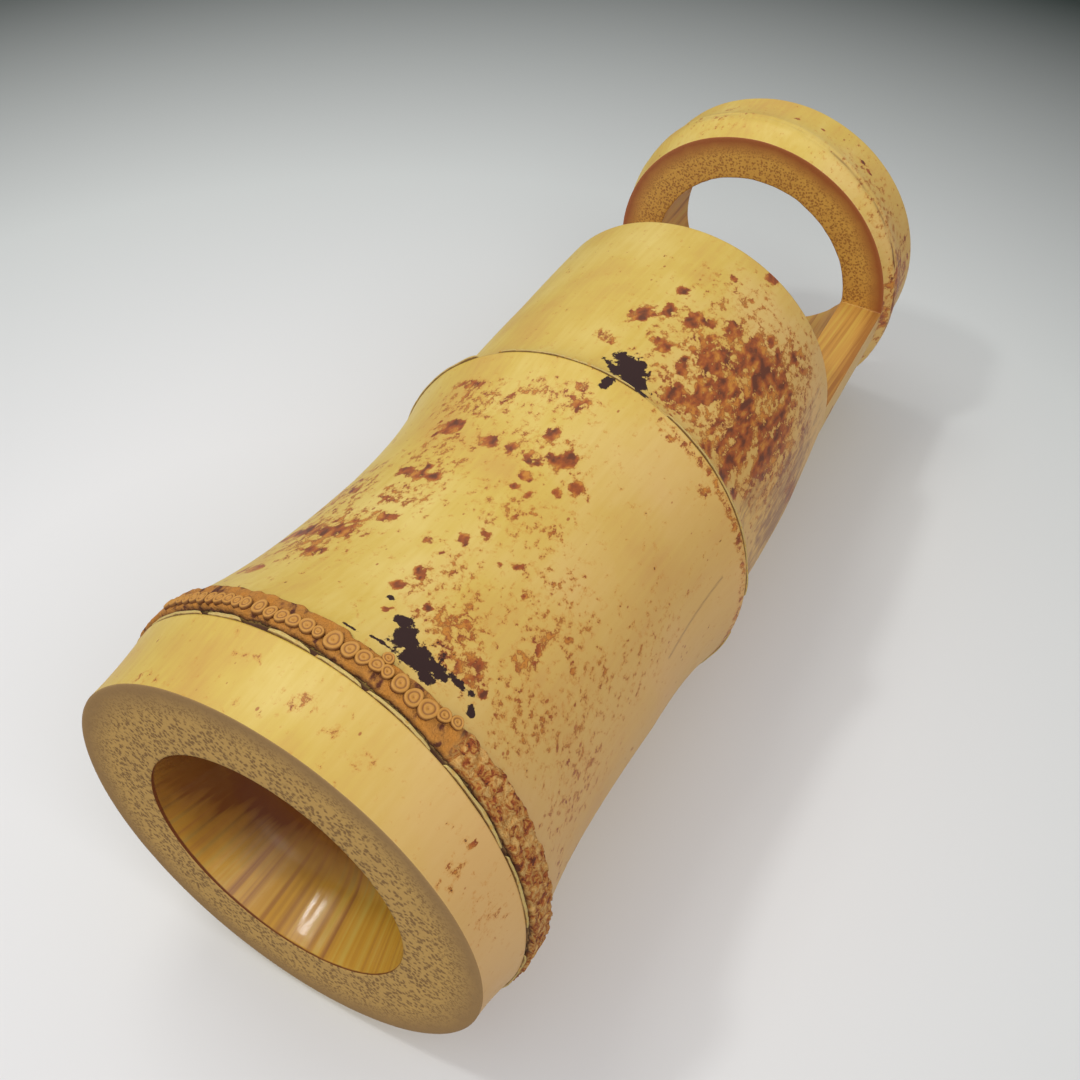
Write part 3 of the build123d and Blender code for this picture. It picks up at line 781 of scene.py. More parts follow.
class VASE_OT_culm(bpy.types.Operator):
    """Make the length of bamboo that is the vase"""

    bl_idname = "vase.culm"
    bl_label = "Bamboo culm"

    def execute(self, context):
        colours = context.scene.vase_colours
        foot_tones = (colours.end_grain, colours.end_dots, colours.end_rim)
        ring_tones = (colours.ring_grain, colours.split_dark, colours.ring_rim)
        materials = [
            waxed_skin(colours),
            sawn_end_grain("Bamboo_end_grain_sawn_and_sanded", foot_tones, 1.15),
            sawn_end_grain("Bamboo_end_grain_sawn_and_oiled", ring_tones, 0.85),
            inner_wall(colours),
            split_face(colours),
            lacquered_hollow(colours),
        ]
        patches = culm_patches(Outline(context.scene.vase_sizes))
        make_piece("bamboo_culm", patches, materials, "vase", ["culm"])
        return {"FINISHED"}


def waxed_skin(colours):
    """Bamboo dried and waxed: hard straw-yellow skin with a soft wax gloss, mottled by mould."""
    material, tree, shader = fresh_material("Bamboo_skin_dried_and_waxed")
    where = place_in_mm(tree)
    # Broad light and dark areas, and faint lines that run with the fibres
    broad = add(tree, "TexNoise", {"Vector": where, "Scale": 1 / 38, "Detail": 5.0})
    thin = place_in_mm(tree, 0.07)
    lines = add(tree, "TexNoise", {"Vector": thin, "Scale": 1 / 1.6, "Detail": 3.0})
    tone = add(tree, "Mix", {0: 0.2, 2: broad, 3: lines}, data_type="FLOAT")
    base = add(
        tree,
        "ValToRGB",
        {0: tone},
        stops=((0.34, colours.straw_deep), (0.48, colours.straw), (0.66, colours.straw_pale)),
    )
    # The right-hand side, away from the key lamp, is pinker: partly handled wear, partly painted
    # shade
    across = add(tree, "SeparateXYZ", {0: where})
    side = add(tree, "Math", {0: broad, 1: 70.0, 2: across}, operation="MULTIPLY_ADD")
    side = add(tree, "MapRange", {0: side, 1: 45.0, 2: 100.0, 4: 0.75})
    skin = add(tree, "Mix", {0: side, 6: base, 7: colours.tan}, data_type="RGBA")
    # Fine mould specks, longer than wide, thick in some places and none in others
    long_cells = place_in_mm(tree, 0.6)
    specks = add(tree, "TexVoronoi", {"Vector": long_cells, "Scale": 1 / 1.7})
    chance = add(tree, "SeparateColor", {0: specks.node.outputs["Color"]})
    clumps = add(tree, "TexNoise", {"Vector": where, "Scale": 1 / 15, "Detail": 3.0})
    room = add(tree, "MapRange", {0: clumps, 1: 0.42, 2: 0.70, 3: -1.0, 4: -0.62})
    reach = add(tree, "Math", {0: chance, 1: room}, operation="ADD")
    speck = add(tree, "Math", {0: reach, 1: specks}, operation="SUBTRACT")
    speck = add(tree, "MapRange", {0: speck, 1: -0.04, 2: 0.05, 4: 0.75})
    skin = add(tree, "Mix", {0: speck, 6: skin, 7: colours.rust}, data_type="RGBA")
    # Mottles: ragged edges, an amber halo, dark rims and hearts
    ragged = add(
        tree,
        "TexNoise",
        {"Vector": place_in_mm(tree, 0.8), "Scale": 1 / 2.1, "Detail": 8.0, "Roughness": 0.72},
    )
    lumpy = add(tree, "Math", {0: ragged, 1: -0.5}, operation="ADD")
    # The stain mark also carries the painted shade under the second node's ridge
    kind = add(tree, "Attribute", out="Fac", attribute_name="stain")
    stain = add(tree, "Math", {0: lumpy, 1: 2.7, 2: kind}, operation="MULTIPLY_ADD")
    halo = add(tree, "MapRange", {0: stain, 1: 0.22, 2: 0.46, 4: 0.55})
    skin = add(tree, "Mix", {0: halo, 6: skin, 7: colours.amber}, data_type="RGBA")
    cloudy = add(tree, "TexNoise", {"Vector": long_cells, "Scale": 1 / 2.6, "Detail": 6.0})
    depth = add(tree, "Math", {0: kind, 1: 0.38, 2: cloudy}, operation="MULTIPLY_ADD")
    heart = add(
        tree,
        "ValToRGB",
        {0: depth},
        stops=((0.62, colours.amber), (0.78, colours.rust), (0.96, colours.umber)),
    )
    body = add(tree, "MapRange", {0: stain, 1: 0.46, 2: 0.52, 4: 0.94})
    skin = add(tree, "Mix", {0: body, 6: skin, 7: heart}, data_type="RGBA")
    rim_in = add(tree, "MapRange", {0: stain, 1: 0.47, 2: 0.52})
    rim_out = add(tree, "MapRange", {0: stain, 1: 0.54, 2: 0.66, 3: 0.55, 4: 0.0})
    rim = add(tree, "Math", {0: rim_in, 1: rim_out}, operation="MULTIPLY")
    skin = add(tree, "Mix", {0: rim, 6: skin, 7: colours.umber}, data_type="RGBA")
    streaks = add(
        tree,
        "TexNoise",
        {"Vector": place_in_mm(tree, 0.12), "Scale": 1 / 1.8, "Detail": 6.0, "Roughness": 0.65},
    )
    dusk = add(tree, "Attribute", out="Fac", attribute_name="dusk")
    dusk = add(tree, "Math", {0: dusk, 1: 0.55, 2: streaks}, operation="MULTIPLY_ADD")
    dusk = add(tree, "MapRange", {0: dusk, 1: 0.72, 2: 0.98, 4: 0.75})
    skin = add(tree, "Mix", {0: dusk, 6: skin, 7: colours.dusk}, data_type="RGBA")
    tar = add(tree, "Attribute", out="Fac", attribute_name="tar")
    tar = add(tree, "Math", {0: lumpy, 1: 2.6, 2: tar}, operation="MULTIPLY_ADD")
    tar = add(tree, "MapRange", {0: tar, 1: 0.44, 2: 0.54})
    skin = add(tree, "Mix", {0: tar, 6: skin, 7: colours.tar}, data_type="RGBA")
    line = add(tree, "Attribute", out="Fac", attribute_name="line")
    skin = add(tree, "Mix", {0: line, 6: skin, 7: colours.umber}, data_type="RGBA")
    # Corky root band with its crumbled stretch, and the grooves
    smooth_cork = add(
        tree,
        "ValToRGB",
        {0: cloudy},
        stops=((0.34, colours.cork_dark), (0.44, colours.cork), (0.70, colours.amber)),
    )
    crumbs = add(
        tree,
        "TexNoise",
        {"Vector": where, "Scale": 1 / 2.1, "Detail": 4.0, "Roughness": 0.7, "Distortion": 0.8},
    )
    crumbled = add(
        tree,
        "ValToRGB",
        {0: crumbs},
        stops=(
            (0.34, colours.cork_dark),
            (0.42, colours.rust),
            (0.49, colours.cork),
            (0.62, colours.cork_pale),
        ),
    )
    crumb = add(tree, "Attribute", out="Fac", attribute_name="crumb")
    cork = add(tree, "Mix", {0: crumb, 6: smooth_cork, 7: crumbled}, data_type="RGBA")
    corked = add(tree, "Attribute", out="Fac", attribute_name="cork")
    corked = add(tree, "Math", {0: lumpy, 1: 1.2, 2: corked}, operation="MULTIPLY_ADD")
    in_cork = add(tree, "MapRange", {0: corked, 1: 0.30, 2: 0.42})
    brink = add(tree, "MapRange", {0: corked, 1: 0.42, 2: 0.70, 3: 0.8, 4: 0.0})
    cork = add(tree, "Mix", {0: brink, 6: cork, 7: colours.cork_dark}, data_type="RGBA")
    skin = add(tree, "Mix", {0: in_cork, 6: skin, 7: cork}, data_type="RGBA")
    gap = add(tree, "Attribute", out="Fac", attribute_name="gap")
    skin = add(tree, "Mix", {0: gap, 6: skin, 7: colours.groove}, data_type="RGBA")
    dull = add(tree, "Math", {0: in_cork, 1: gap}, operation="MAXIMUM")
    dull = add(tree, "Math", {0: dull, 1: tar}, operation="MAXIMUM")
    gloss = add(tree, "MapRange", {0: dull, 3: 0.48, 4: 0.8})
    relief = add(tree, "Math", {0: crumbs, 1: in_cork}, operation="MULTIPLY")
    relief = add(tree, "Math", {0: lines, 1: 0.03, 2: relief}, operation="MULTIPLY_ADD")
    bump = add(tree, "Bump", {"Height": relief, "Distance": 1.4 * MM, "Strength": 0.9})
    feed(shader, {"Base Color": skin, "Roughness": gloss, "Normal": bump})
    return material


def sawn_end_grain(name, tones, bundle_mm):
    """Bamboo end grain: light ground, dark fibre bundles, finer and denser towards the skin."""
    ground, dots, rim = tones
    material, tree, shader = fresh_material(name)
    across = place_in_mm(tree, 0.02)
    share = add(tree, "Attribute", out="Fac", attribute_name="share")
    warp = add(tree, "TexNoise", {"Vector": across, "Scale": 1 / 1.1, "Detail": 1.0}, out="Color")
    warped = add(
        tree,
        "VectorMath",
        {0: warp, 1: (1.1, 1.1, 0.0), 2: across},
        operation="MULTIPLY_ADD",
    )
    coarse = add(tree, "TexVoronoi", {"Vector": warped, "Scale": 1 / bundle_mm})
    fine = add(tree, "TexVoronoi", {"Vector": warped, "Scale": 1.6 / bundle_mm})
    inward = add(tree, "MapRange", {0: share, 1: 0.25, 2: 0.55})
    spot = add(tree, "Mix", {0: inward, 2: fine, 3: coarse}, data_type="FLOAT")
    spot = add(tree, "MapRange", {0: spot, 1: 0.30, 2: 0.56, 3: 1.0, 4: 0.0})
    faint = add(tree, "MapRange", {0: share, 1: 0.06, 2: 0.36, 3: 0.15, 4: 1.0})
    spot = add(tree, "Math", {0: spot, 1: faint}, operation="MULTIPLY")
    clouds = add(tree, "TexNoise", {"Vector": across, "Scale": 1 / 9, "Detail": 3.0})
    dense = add(tree, "MapRange", {0: share, 1: 0.02, 2: 0.44, 3: 0.95, 4: 0.0})
    dense = add(tree, "Math", {0: clouds, 1: 0.5, 2: dense}, operation="MULTIPLY_ADD")
    dense = add(tree, "MapRange", {0: dense, 1: 0.22, 2: 1.05})
    grain = add(tree, "Mix", {0: dense, 6: ground, 7: rim}, data_type="RGBA")
    grain = add(tree, "Mix", {0: spot, 6: grain, 7: dots}, data_type="RGBA")
    low_spot = {"Height": spot, "Distance": 0.1 * MM, "Strength": 0.5}
    bump = add(tree, "Bump", low_spot, invert=True)
    feed(shader, {"Base Color": grain, "Roughness": 0.6, "Normal": bump})
    return material


def inner_wall(colours):
    """Bamboo's inner wall, left as grown: pale and papery, with soft lines along it."""
    material, tree, shader = fresh_material("Bamboo_inner_wall_as_grown")
    thin = place_in_mm(tree, 0.05)
    lines = add(tree, "TexNoise", {"Vector": thin, "Scale": 1 / 2.5, "Detail": 4.0})
    tone = add(
        tree,
        "ValToRGB",
        {0: lines},
        stops=((0.25, colours.split_dark), (0.5, colours.ring_grain), (0.75, colours.straw)),
    )
    feed(shader, {"Base Color": tone, "Roughness": 0.6})
    return material


def split_face(colours):
    """Bamboo sawn along its fibres: straight light and dark lines, darkest next to the skin."""
    material, tree, shader = fresh_material("Bamboo_split_face_sawn_lengthwise")
    thin = place_in_mm(tree, 0.02)
    fibres = add(tree, "TexNoise", {"Vector": thin, "Scale": 1.0, "Detail": 4.0})
    share = add(tree, "Attribute", out="Fac", attribute_name="share")
    skinward = add(tree, "MapRange", {0: share, 1: 0.12, 2: 0.36, 3: 0.26, 4: 0.0})
    tone = add(tree, "Math", {0: fibres, 1: skinward}, operation="SUBTRACT")
    wood = add(
        tree,
        "ValToRGB",
        {0: tone},
        stops=((0.22, colours.split_dark), (0.50, colours.split), (0.82, colours.straw)),
    )
    bump = add(tree, "Bump", {"Height": fibres, "Distance": 0.15 * MM, "Strength": 0.5})
    feed(shader, {"Base Color": wood, "Roughness": 0.5, "Normal": bump})
    return material


def lacquered_hollow(colours):
    """Clear lacquer over bamboo: glossy amber with streaks up the wall, dark on the node wall, with
    painted shade far into the hollow and on its front side.
    """
    material, tree, shader = fresh_material("Bamboo_hollow_clear_lacquered")
    where = place_in_mm(tree)
    # Only the turn round the foot counts for the streaks, so they run up the tapered wall
    flat = add(tree, "VectorMath", {0: where, 1: (1, 1, 0)}, operation="MULTIPLY")
    turn = add(tree, "VectorMath", {0: flat}, operation="NORMALIZE")
    streaks = add(tree, "TexNoise", {"Vector": turn, "Scale": 15.0, "Detail": 3.0})
    clouds = add(tree, "TexNoise", {"Vector": where, "Scale": 1 / 12, "Detail": 3.0})
    # Painted shade: the wall turns dark towards the node wall, and sooner on its front side, which
    # faces away from the key lamp; the node wall's own dark tone is mixed in too
    front = {0: where, 1: (-0.006, -0.009, 0.0)}
    front = add(tree, "VectorMath", front, out="Value", operation="DOT_PRODUCT")
    share = add(tree, "Attribute", out="Fac", attribute_name="share")
    node_wall_and_shade = add(tree, "Math", {0: front, 1: share}, operation="ADD")
    node_wall_and_shade = add(tree, "Math", {0: clouds, 1: 0.3, 2: node_wall_and_shade}, operation="MULTIPLY_ADD")
    node_wall_and_shade = add(tree, "Math", {0: streaks, 1: 0.4, 2: node_wall_and_shade}, operation="MULTIPLY_ADD")
    node_wall_and_shade = add(tree, "MapRange", {0: node_wall_and_shade, 1: 0.36, 2: 0.72})
    wall = add(
        tree,
        "ValToRGB",
        {0: streaks},
        stops=((0.30, colours.split_dark), (0.50, colours.lacquer), (0.76, colours.straw)),
    )
    both = add(tree, "Mix", {0: node_wall_and_shade, 6: wall, 7: colours.lacquer_dark_and_shade}, data_type="RGBA")
    feed(shader, {"Base Color": both, "Roughness": 0.35})
    feed(shader, {"Coat Weight": 1.0, "Coat Roughness": 0.05})
    return material


# ---- Root stubs

# A stub from its middle outwards: share of its radius, and share of its stand
STUB_PROFILE = (
    (0, 0.42), (0.1, 0.45), (0.22, 0.72), (0.34, 0.8), (0.46, 0.66), (0.56, 0.55), (0.66, 0.74),
    (0.78, 0.84), (0.9, 0.72), (0.98, 0.35), (1, -0.6), (0.6, -0.9), (0, -0.9),
)


def stub(outline, number, turn, height, diameter):
    """One root stub: a rounded outer ring, a groove, an inner ring and a small pit."""
    table = np.array(STUB_PROFILE)
    spins = np.linspace(0, 2 * np.pi, 37)
    wobble = 1 + 0.06 * np.sin(2 * spins + number) + 0.04 * np.sin(3 * spins + 2 * number)
    reach = table[:, :1] * diameter / 2 * wobble
    radius = outline.band_radius - 0.3 + table[:, 1:] * outline.size.stub_stand + 0 * reach
    turns = np.radians(turn) + reach * np.cos(spins) / outline.band_radius
    centre = outline.centre(np.array([height]))[0]
    x = centre[0] + radius * np.cos(turns)
    y = centre[1] + radius * np.sin(turns)
    points = np.stack([x, y, height + 1.08 * reach * np.sin(spins)], axis=-1)
    points[:, -1] = points[:, 0]
    share = np.where(table[:, 1] < 0, 1.0, table[:, 0])
    return {"points": points, "share": share[:, None]}


def cut_root(colours):
    """Root wood, cut flush and worn: ochre, with darker growth rings."""
    material, tree, shader = fresh_material("Root_wood_cut_and_worn")
    share = add(tree, "Attribute", out="Fac", attribute_name="share")
    rings = add(
        tree,
        "ValToRGB",
        {0: share},
        stops=(
            (0.0, colours.stub_ring),
            (0.12, colours.stub),
            (0.40, colours.stub),
            (0.54, colours.stub_ring),
            (0.66, colours.stub),
            (0.88, colours.stub),
            (1.0, colours.cork_dark),
        ),
    )
    where = place_in_mm(tree)
    tone = add(tree, "TexNoise", {"Vector": where, "Scale": 1 / 1.5, "Detail": 4.0})
    dusty = add(tree, "MapRange", {0: tone, 1: 0.35, 2: 0.75, 4: 0.18})
    shade = add(tree, "Mix", {0: dusty, 6: rings, 7: colours.cork_pale}, data_type="RGBA")
    feed(shader, {"Base Color": shade, "Roughness": 0.6})
    return material


class VASE_OT_root_stubs(bpy.types.Operator):
    """Make the root stubs in their row above the first node"""

    bl_idname = "vase.root_stubs"
    bl_label = "Root stubs"

    def execute(self, context):
        outline = Outline(context.scene.vase_sizes)
        patches = [stub(outline, number, *each) for number, each in enumerate(STUBS)]
        materials = [cut_root(context.scene.vase_colours)]
        make_piece("root_stub_row", patches, materials, "vase", ["root_stubs"])
        return {"FINISHED"}


# ---- Remnants of the sheaths

# Cross section of a strip: share of its reach out of the groove, and share of its height
STRIP_SECTION = (
    (0, 0), (0.75, 0.04), (1, 0.22), (0.86, 0.5), (1, 0.8), (0.7, 0.98), (0, 1), (0, 0),
)


def strip(outline, level, bottom, stand, height, first, last, seed):
    """One dry strip in a groove, curling and uneven, with torn ends."""
    share = np.linspace(0, 1, max(12, round(last - first) * 2))
    turns = first + (last - first) * share
    walk = walk_round(turns, 60, seed)
    ends = np.sqrt(np.clip(np.minimum(share, 1 - share) * (last - first) / 3.0, 0, 1))
    rise = (0.18 + 0.22 * noise(walk, 7, seed) + 0.10 * noise(walk, 1.6, seed + 1)) * height
    tall = height * (0.75 + 0.25 * noise(walk, 4, seed + 2)) * (0.25 + 0.75 * ends)
    skin = outline.radius_and_tilt(np.array([level]))[0][0]
    out = skin - bottom + stand * (0.55 + 0.45 * noise(walk, 5, seed + 3)) * ends
    grid = []
    for reach, up in STRIP_SECTION:
        radius = bottom - 0.2 + (out + 0.2) * reach
        row = outline.place(np.array([level]), turns[None], radius[None])[0]
        row[:, 2] += np.maximum(rise, 0.05) + tall * up
        grid.append(row)
    grid = np.array(grid)
    grid[:, 0], grid[:, -1] = grid[:, 0].mean(axis=0), grid[:, -1].mean(axis=0)
    return {"points": grid, "share": np.array(STRIP_SECTION)[:, 1:]}


def dry_sheath(colours):
    """Dried sheath, torn off and left: cream and papery, brown along its torn edges."""
    material, tree, shader = fresh_material("Bamboo_sheath_dried_and_torn")
    where = place_in_mm(tree)
    tone = add(tree, "TexNoise", {"Vector": where, "Scale": 1 / 1.6, "Detail": 5.0})
    share = add(tree, "Attribute", out="Fac", attribute_name="share")
    off = add(tree, "Math", {0: share, 1: 0.5}, operation="SUBTRACT")
    off = add(tree, "Math", {0: off}, operation="ABSOLUTE")
    torn = add(tree, "Math", {0: tone, 1: 0.35, 2: off}, operation="MULTIPLY_ADD")
    torn = add(tree, "MapRange", {0: torn, 1: 0.50, 2: 0.64, 4: 0.85})
    cream = add(
        tree,
        "ValToRGB",
        {0: tone},
        stops=((0.34, colours.straw_deep), (0.48, colours.sheath), (0.7, colours.straw_pale)),
    )
    both = add(tree, "Mix", {0: torn, 6: cream, 7: colours.sheath_edge}, data_type="RGBA")
    feed(shader, {"Base Color": both, "Roughness": 0.7})
    return material


class VASE_OT_sheath_remnants(bpy.types.Operator):
    """Make the dry strips of sheath at the two nodes"""

    bl_idname = "vase.sheath_remnants"
    bl_label = "Sheath remnants"

    def execute(self, context):
        outline = Outline(context.scene.vase_sizes)
        size = outline.size
        sheath = [dry_sheath(context.scene.vase_colours)]
        # Level and radius of each groove's bottom, and how far its strips stand out and how high
        lower = outline.scar, outline.scar_radius - size.groove_depth, size.strip_stand, 1.1
        upper = outline.ridge, outline.ridge_radius - size.ridge_groove - 0.3, 0.35, 0.5
        for name, replaced, groove, turns, seed in (
            ("lower_sheath_strips", "lower_sheath_remnant", lower, LOWER_STRIPS, 40),
            ("upper_sheath_strips", "upper_sheath_remnant", upper, UPPER_STRIPS, 140),
        ):
            strips = [
                strip(outline, *groove, *each, seed + 5 * number)
                for number, each in enumerate(turns)
            ]
            make_piece(name, strips, sheath, "vase", [replaced])
        return {"FINISHED"}


# ---- Water liner


# Turn in degrees at which the liner's rolled edge ends
ROLL_END = -106.0


def turned(outline, profile):
    """A closed profile of radii and levels, turned about the liner's axis."""
    middle = outline.leaned(LINER_LEAN_SHARE * outline.size.lean, 0.0)
    spins = np.radians(np.linspace(0, FULL_TURN, 145))
    table = np.array(profile)
    x = middle[0] + table[:, :1] * np.cos(spins)
    y = middle[1] + table[:, :1] * np.sin(spins)
    points = np.stack([x, y, table[:, 1:] + 0 * x], axis=-1)
    points[:, -1] = points[:, 0]
    return {"points": points}


def arc(radius, level, reach, first, last, count):
    """Points of a profile along an arc, between two turns in degrees."""
    turns = np.radians(np.linspace(first, last, count))
    return [(radius + reach * np.cos(turn), level + reach * np.sin(turn)) for turn in turns]


def liner_profiles(outline):
    """Closed profiles of the liner's tube with its rolled edge, of the wire in it, and the base."""
    size = outline.size
    outer, sheet, roll = size.liner_radius, size.liner_sheet, size.liner_roll
    inner, floor = outer - sheet, outline.floor
    middle = inner + roll
    level = outline.mouth - size.liner_drop - roll
    climb = np.linspace(floor, level, 30)
    tube = [(inner, up) for up in climb]
    tube += arc(middle, level, roll, HALF_TURN, ROLL_END, 30)[1:]
    tube += arc(middle, level, roll - sheet, ROLL_END, HALF_TURN, 30)
    tube += [(outer, up) for up in climb[::-1][1:]]
    tube.append(tube[0])
    wire = arc(middle, level, roll - sheet - 0.1, FULL_TURN, 0, 17)
    wire[-1] = wire[0]
    inside = inner - sheet
    top = floor + size.liner_flange
    cup = [(0.0, floor + sheet), (inside - 0.6, floor + sheet)]
    cup += [(inside - 0.2, floor + sheet + 0.15), (inside, floor + sheet + 0.6)]
    cup += [(inside, top - 0.2), (inside + 0.2, top), (inner - 0.2, top)]
    cup += [(inner, top - 0.2), (inner, floor + 0.3), (inner - 0.3, floor), (0.0, floor)]
    return tube, wire, cup


def tarnished_copper(colours):
    """Copper sheet, rolled thin and tarnished: warm metal with darker clouds."""
    material, tree, shader = fresh_material("Copper_sheet_rolled_and_tarnished")
    where = place_in_mm(tree)
    clouds = add(tree, "TexNoise", {"Vector": where, "Scale": 1 / 11, "Detail": 5.0})
    dark = add(tree, "MapRange", {0: clouds, 1: 0.42, 2: 0.68, 4: 0.8})
    tones = {0: dark, 6: colours.copper, 7: colours.copper_dark}
    tone = add(tree, "Mix", tones, data_type="RGBA")
    rough = add(tree, "MapRange", {0: clouds, 1: 0.3, 2: 0.7, 3: 0.28, 4: 0.5})
    feed(shader, {"Base Color": tone, "Roughness": rough, "Metallic": 1.0})
    return material


class VASE_OT_water_liner(bpy.types.Operator):
    """Make the lift-out water liner: tube with rolled rim, rim wire and base"""

    bl_idname = "vase.water_liner"
    bl_label = "Water liner"

    def execute(self, context):
        outline = Outline(context.scene.vase_sizes)
        tube, wire, cup = liner_profiles(outline)
        copper = [tarnished_copper(context.scene.vase_colours)]
        for name, profile, replaced in (
            ("liner_tube_sheet", tube, "liner_tube"),
            ("liner_rim_round_wire", wire, "liner_rim_wire"),
            ("liner_base_cup", cup, "liner_base"),
        ):
            patches = [turned(outline, profile)]
            make_piece(name, patches, copper, "water_liner", [replaced])
        return {"FINISHED"}


# ---- Stage


class VASE_OT_stage(bpy.types.Operator):
    """Make the backdrop, the lamps and the camera"""

    bl_idname = "vase.stage"
    bl_label = "Stage, lamps and camera"

    def execute(self, context):
        scene = context.scene
        colours = scene.vase_colours
        scene.view_settings.view_transform = "Standard"
        add_room_light(scene, colours)
        make_stage_plane("backdrop", wall_points(), stage_paint(colours, True))
        make_stage_plane("shelf", shelf_points(), stage_paint(colours, False))
        add_lamp("key_lamp", (-0.38, -0.92, 0.12), 1.1, 0.42, 2.3, "#fffaf4")
        add_lamp("fill_lamp", (0.55, -0.72, -0.42), 1.2, 0.7, 4.4, "#f8f3f3")
        add_lamp("spark_lamp", (-0.39, -0.866, -0.311), 1.2, 0.1, 2.2, "#ffffff")
        add_camera(scene)
        return {"FINISHED"}


def add_room_light(scene, colours):
    """Light from all round, brighter from in front and below, and a pale ground to look at."""
    world = bpy.data.worlds.new("Soft_studio_light")
    scene.world = world
    world.use_nodes = True
    tree = world.node_tree
    tree.nodes.clear()
    where = add(tree, "TexCoord", out="Generated")
    ways = {0: where, 1: (-0.25, -0.55, -0.8)}
    facing = add(tree, "VectorMath", ways, out="Value", operation="DOT_PRODUCT")
    side = add(tree, "MapRange", {0: facing, 1: -1.0, 2: 1.0})
    light = add(
        tree,
        "ValToRGB",
        {0: side},
        stops=((0.0, linear("#9f97a4")), (0.55, linear("#c4c1c4")), (1.0, linear("#e6e6e6"))),
    )
    glow = add(tree, "Background", {"Color": light})
    seen = add(tree, "Background", {"Color": colours.stage_near})
    camera_ray = add(tree, "LightPath", out="Is Camera Ray")
    both = add(tree, "MixShader", {0: camera_ray, 1: glow, 2: seen})
    add(tree, "OutputWorld", {"Surface": both})


# The point that the lamps shine at, in metres
VASE_MIDDLE = (0.0, 0.0, 0.15)
# A way that is nearly upright, so no lamp shines along it
NEARLY_UP = (0.1, 0.0, 1.0)


def add_lamp(name, way, distance, width, power, hex_code):
    """A square lamp that shines at the vase from one way."""
    lamp = bpy.data.lights.new(name, "AREA")
    lamp.size, lamp.energy, lamp.color = width, power, linear(hex_code)[:3]
    back = np.array(way) / np.linalg.norm(way)
    right = np.cross(NEARLY_UP, back)
    right = right / np.linalg.norm(right)
    turn = Matrix([list(right), list(np.cross(back, right)), list(back)]).transposed()
    middle = np.array(VASE_MIDDLE)
    placed(name, lamp).matrix_world = Matrix.Translation(middle + back * distance) @ turn.to_4x4()


# The backdrop leans on the root band and the ring: level of each, and distance behind the axis
BAND_BACK, RING_BACK = (17.0, 63.6), (297.0, 53.0)
BACKDROP_GAP = 0.8
STAGE_REACH = 2600.0
SHELF_FRONT = -600.0


def wall_points():
    """Corners of the plane that the vase leans on with its root band and its ring."""
    slope = (BAND_BACK[1] - RING_BACK[1]) / (RING_BACK[0] - BAND_BACK[0])
    middle = np.array([0.0, BAND_BACK[1] + BACKDROP_GAP, BAND_BACK[0]])
    corners = ((-1, -1), (1, -1), (1, 1), (-1, 1))
    return [middle + STAGE_REACH * np.array([s, -slope * t, t]) for s, t in corners]


def shelf_points():
    """Corners of the shelf just under the foot."""
    sides, ends = (-STAGE_REACH, STAGE_REACH), (SHELF_FRONT, STAGE_REACH)
    corners = ((0, 0), (1, 0), (1, 1), (0, 1))
    return [np.array([sides[s], ends[t], -0.3]) for s, t in corners]


def make_stage_plane(name, corners, material):
    """A plane of the stage, which is seen from its front only and blocks no light."""
    mesh = bpy.data.meshes.new(name)
    mesh.from_pydata([tuple(corner * MM) for corner in corners], [], [(0, 1, 2, 3)])
    mesh.materials.append(material)
    plane = placed(name, mesh)
    plane.visible_diffuse = plane.visible_shadow = False


# The backdrop is painted palest near a place in millimetres (given turned round), and greys over a
# reach: painted shade of the lamps' falloff
LIT_PLACE = (60.0, -60.0, -70.0)
LIGHT_FALLOFF = (140.0, 640.0)


def stage_paint(colours, upright):
    """Matt paint on board: pale near the foot, and on the backdrop painted shade of the light's
    falloff, grey towards its far end.
    """
    name = "Backdrop_board_matt_painted" if upright else "Shelf_board_matt_painted"
    material, tree, shader = fresh_material(name)
    paint = colours.shelf
    if upright:
        # Painted shade of the light's falloff: the paint greys with distance from the lit place
        off = {0: place_in_mm(tree), 1: LIT_PLACE}
        off = add(tree, "VectorMath", off, operation="ADD")
        away = add(tree, "VectorMath", {0: off}, out="Value", operation="LENGTH")
        far = add(tree, "MapRange", {0: away, 1: LIGHT_FALLOFF[0], 2: LIGHT_FALLOFF[1]})
        near, grey, dark = colours.stage_near, colours.stage_middle_shade, colours.stage_far_shade
        stops = ((0.0, near), (0.38, grey), (1.0, dark))
        paint = add(tree, "ValToRGB", {0: far}, stops=stops)
    feed(shader, {"Base Color": paint, "Roughness": 0.9, "Specular IOR Level": 0.1})
    back = add(tree, "NewGeometry", out="Backfacing")
    clear = add(tree, "BsdfTransparent")
    shown = add(tree, "MixShader", {0: back, 1: shader.outputs[0], 2: clear})
    tree.links.new(shown, tree.get_output_node("ALL").inputs["Surface"])
    return material


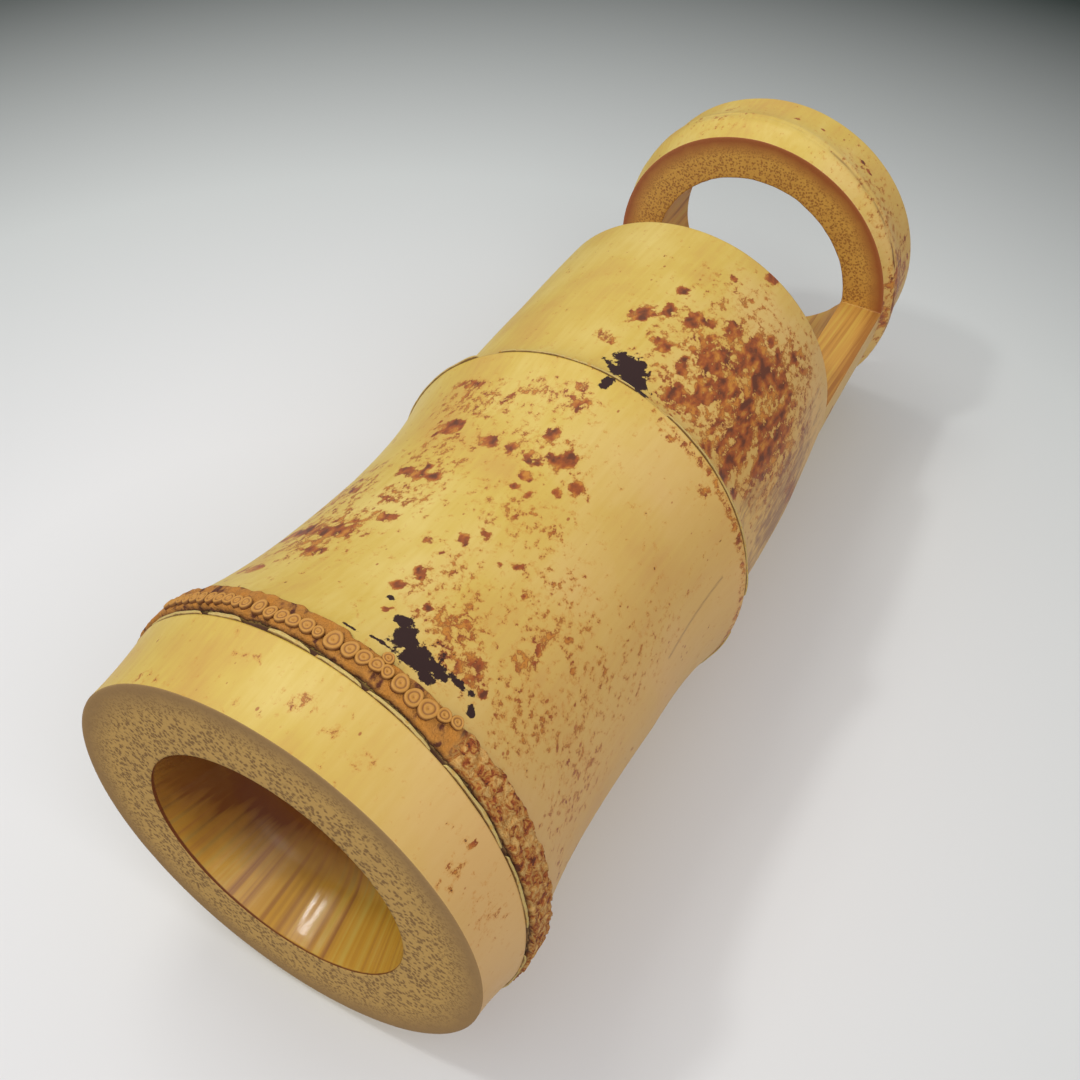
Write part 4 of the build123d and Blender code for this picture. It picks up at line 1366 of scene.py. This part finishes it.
# The photograph's camera, fitted to it: place in metres, the ways it faces, and its lens
CAMERA_PLACE = (0.141298, -0.277071, -0.108670)
CAMERA_RIGHT = (0.8584968, 0.0048336, 0.5127962)
CAMERA_UP = (-0.3591755, -0.7080569, 0.6079872)
CAMERA_BACK = (0.3660276, -0.7061389, -0.6061284)
CAMERA_LENS = 43.333


def add_camera(scene):
    """The camera of the photograph, below the foot and to its right, looking up the vase."""
    data = bpy.data.cameras.new("camera")
    data.sensor_fit, data.sensor_width, data.lens = "HORIZONTAL", 36.0, CAMERA_LENS
    data.clip_start, data.clip_end = 0.01, 20.0
    camera = placed("camera", data)
    turn = Matrix([CAMERA_RIGHT, CAMERA_UP, CAMERA_BACK]).transposed()
    camera.matrix_world = Matrix.Translation(CAMERA_PLACE) @ turn.to_4x4()
    scene.camera = camera


class VASE_PT_panel(bpy.types.Panel):
    """Lists the vase's pieces, sizes and colours"""

    bl_label = "Bamboo vase"
    bl_idname = "VASE_PT_panel"
    bl_space_type = "VIEW_3D"
    bl_region_type = "UI"
    bl_category = "Bamboo vase"

    def draw(self, context):
        for operator in OPERATORS:
            self.layout.operator(operator.bl_idname)
        for group in (context.scene.vase_sizes, context.scene.vase_colours):
            box = self.layout.box()
            for name in type(group).__annotations__:
                box.prop(group, name)


OPERATORS = (
    VASE_OT_culm,
    VASE_OT_root_stubs,
    VASE_OT_sheath_remnants,
    VASE_OT_water_liner,
    VASE_OT_stage,
)
CLASSES = (VaseSizes, VaseColours, *OPERATORS, VASE_PT_panel)


def register():
    for each in CLASSES:
        bpy.utils.register_class(each)
    bpy.types.Scene.vase_sizes = bpy.props.PointerProperty(type=VaseSizes)
    bpy.types.Scene.vase_colours = bpy.props.PointerProperty(type=VaseColours)


def unregister():
    del bpy.types.Scene.vase_colours
    del bpy.types.Scene.vase_sizes
    for each in reversed(CLASSES):
        bpy.utils.unregister_class(each)


def main():
    register()
    bpy.ops.vase.culm()
    bpy.ops.vase.root_stubs()
    bpy.ops.vase.sheath_remnants()
    bpy.ops.vase.water_liner()
    bpy.ops.vase.stage()


if __name__ == "__main__":
    main()
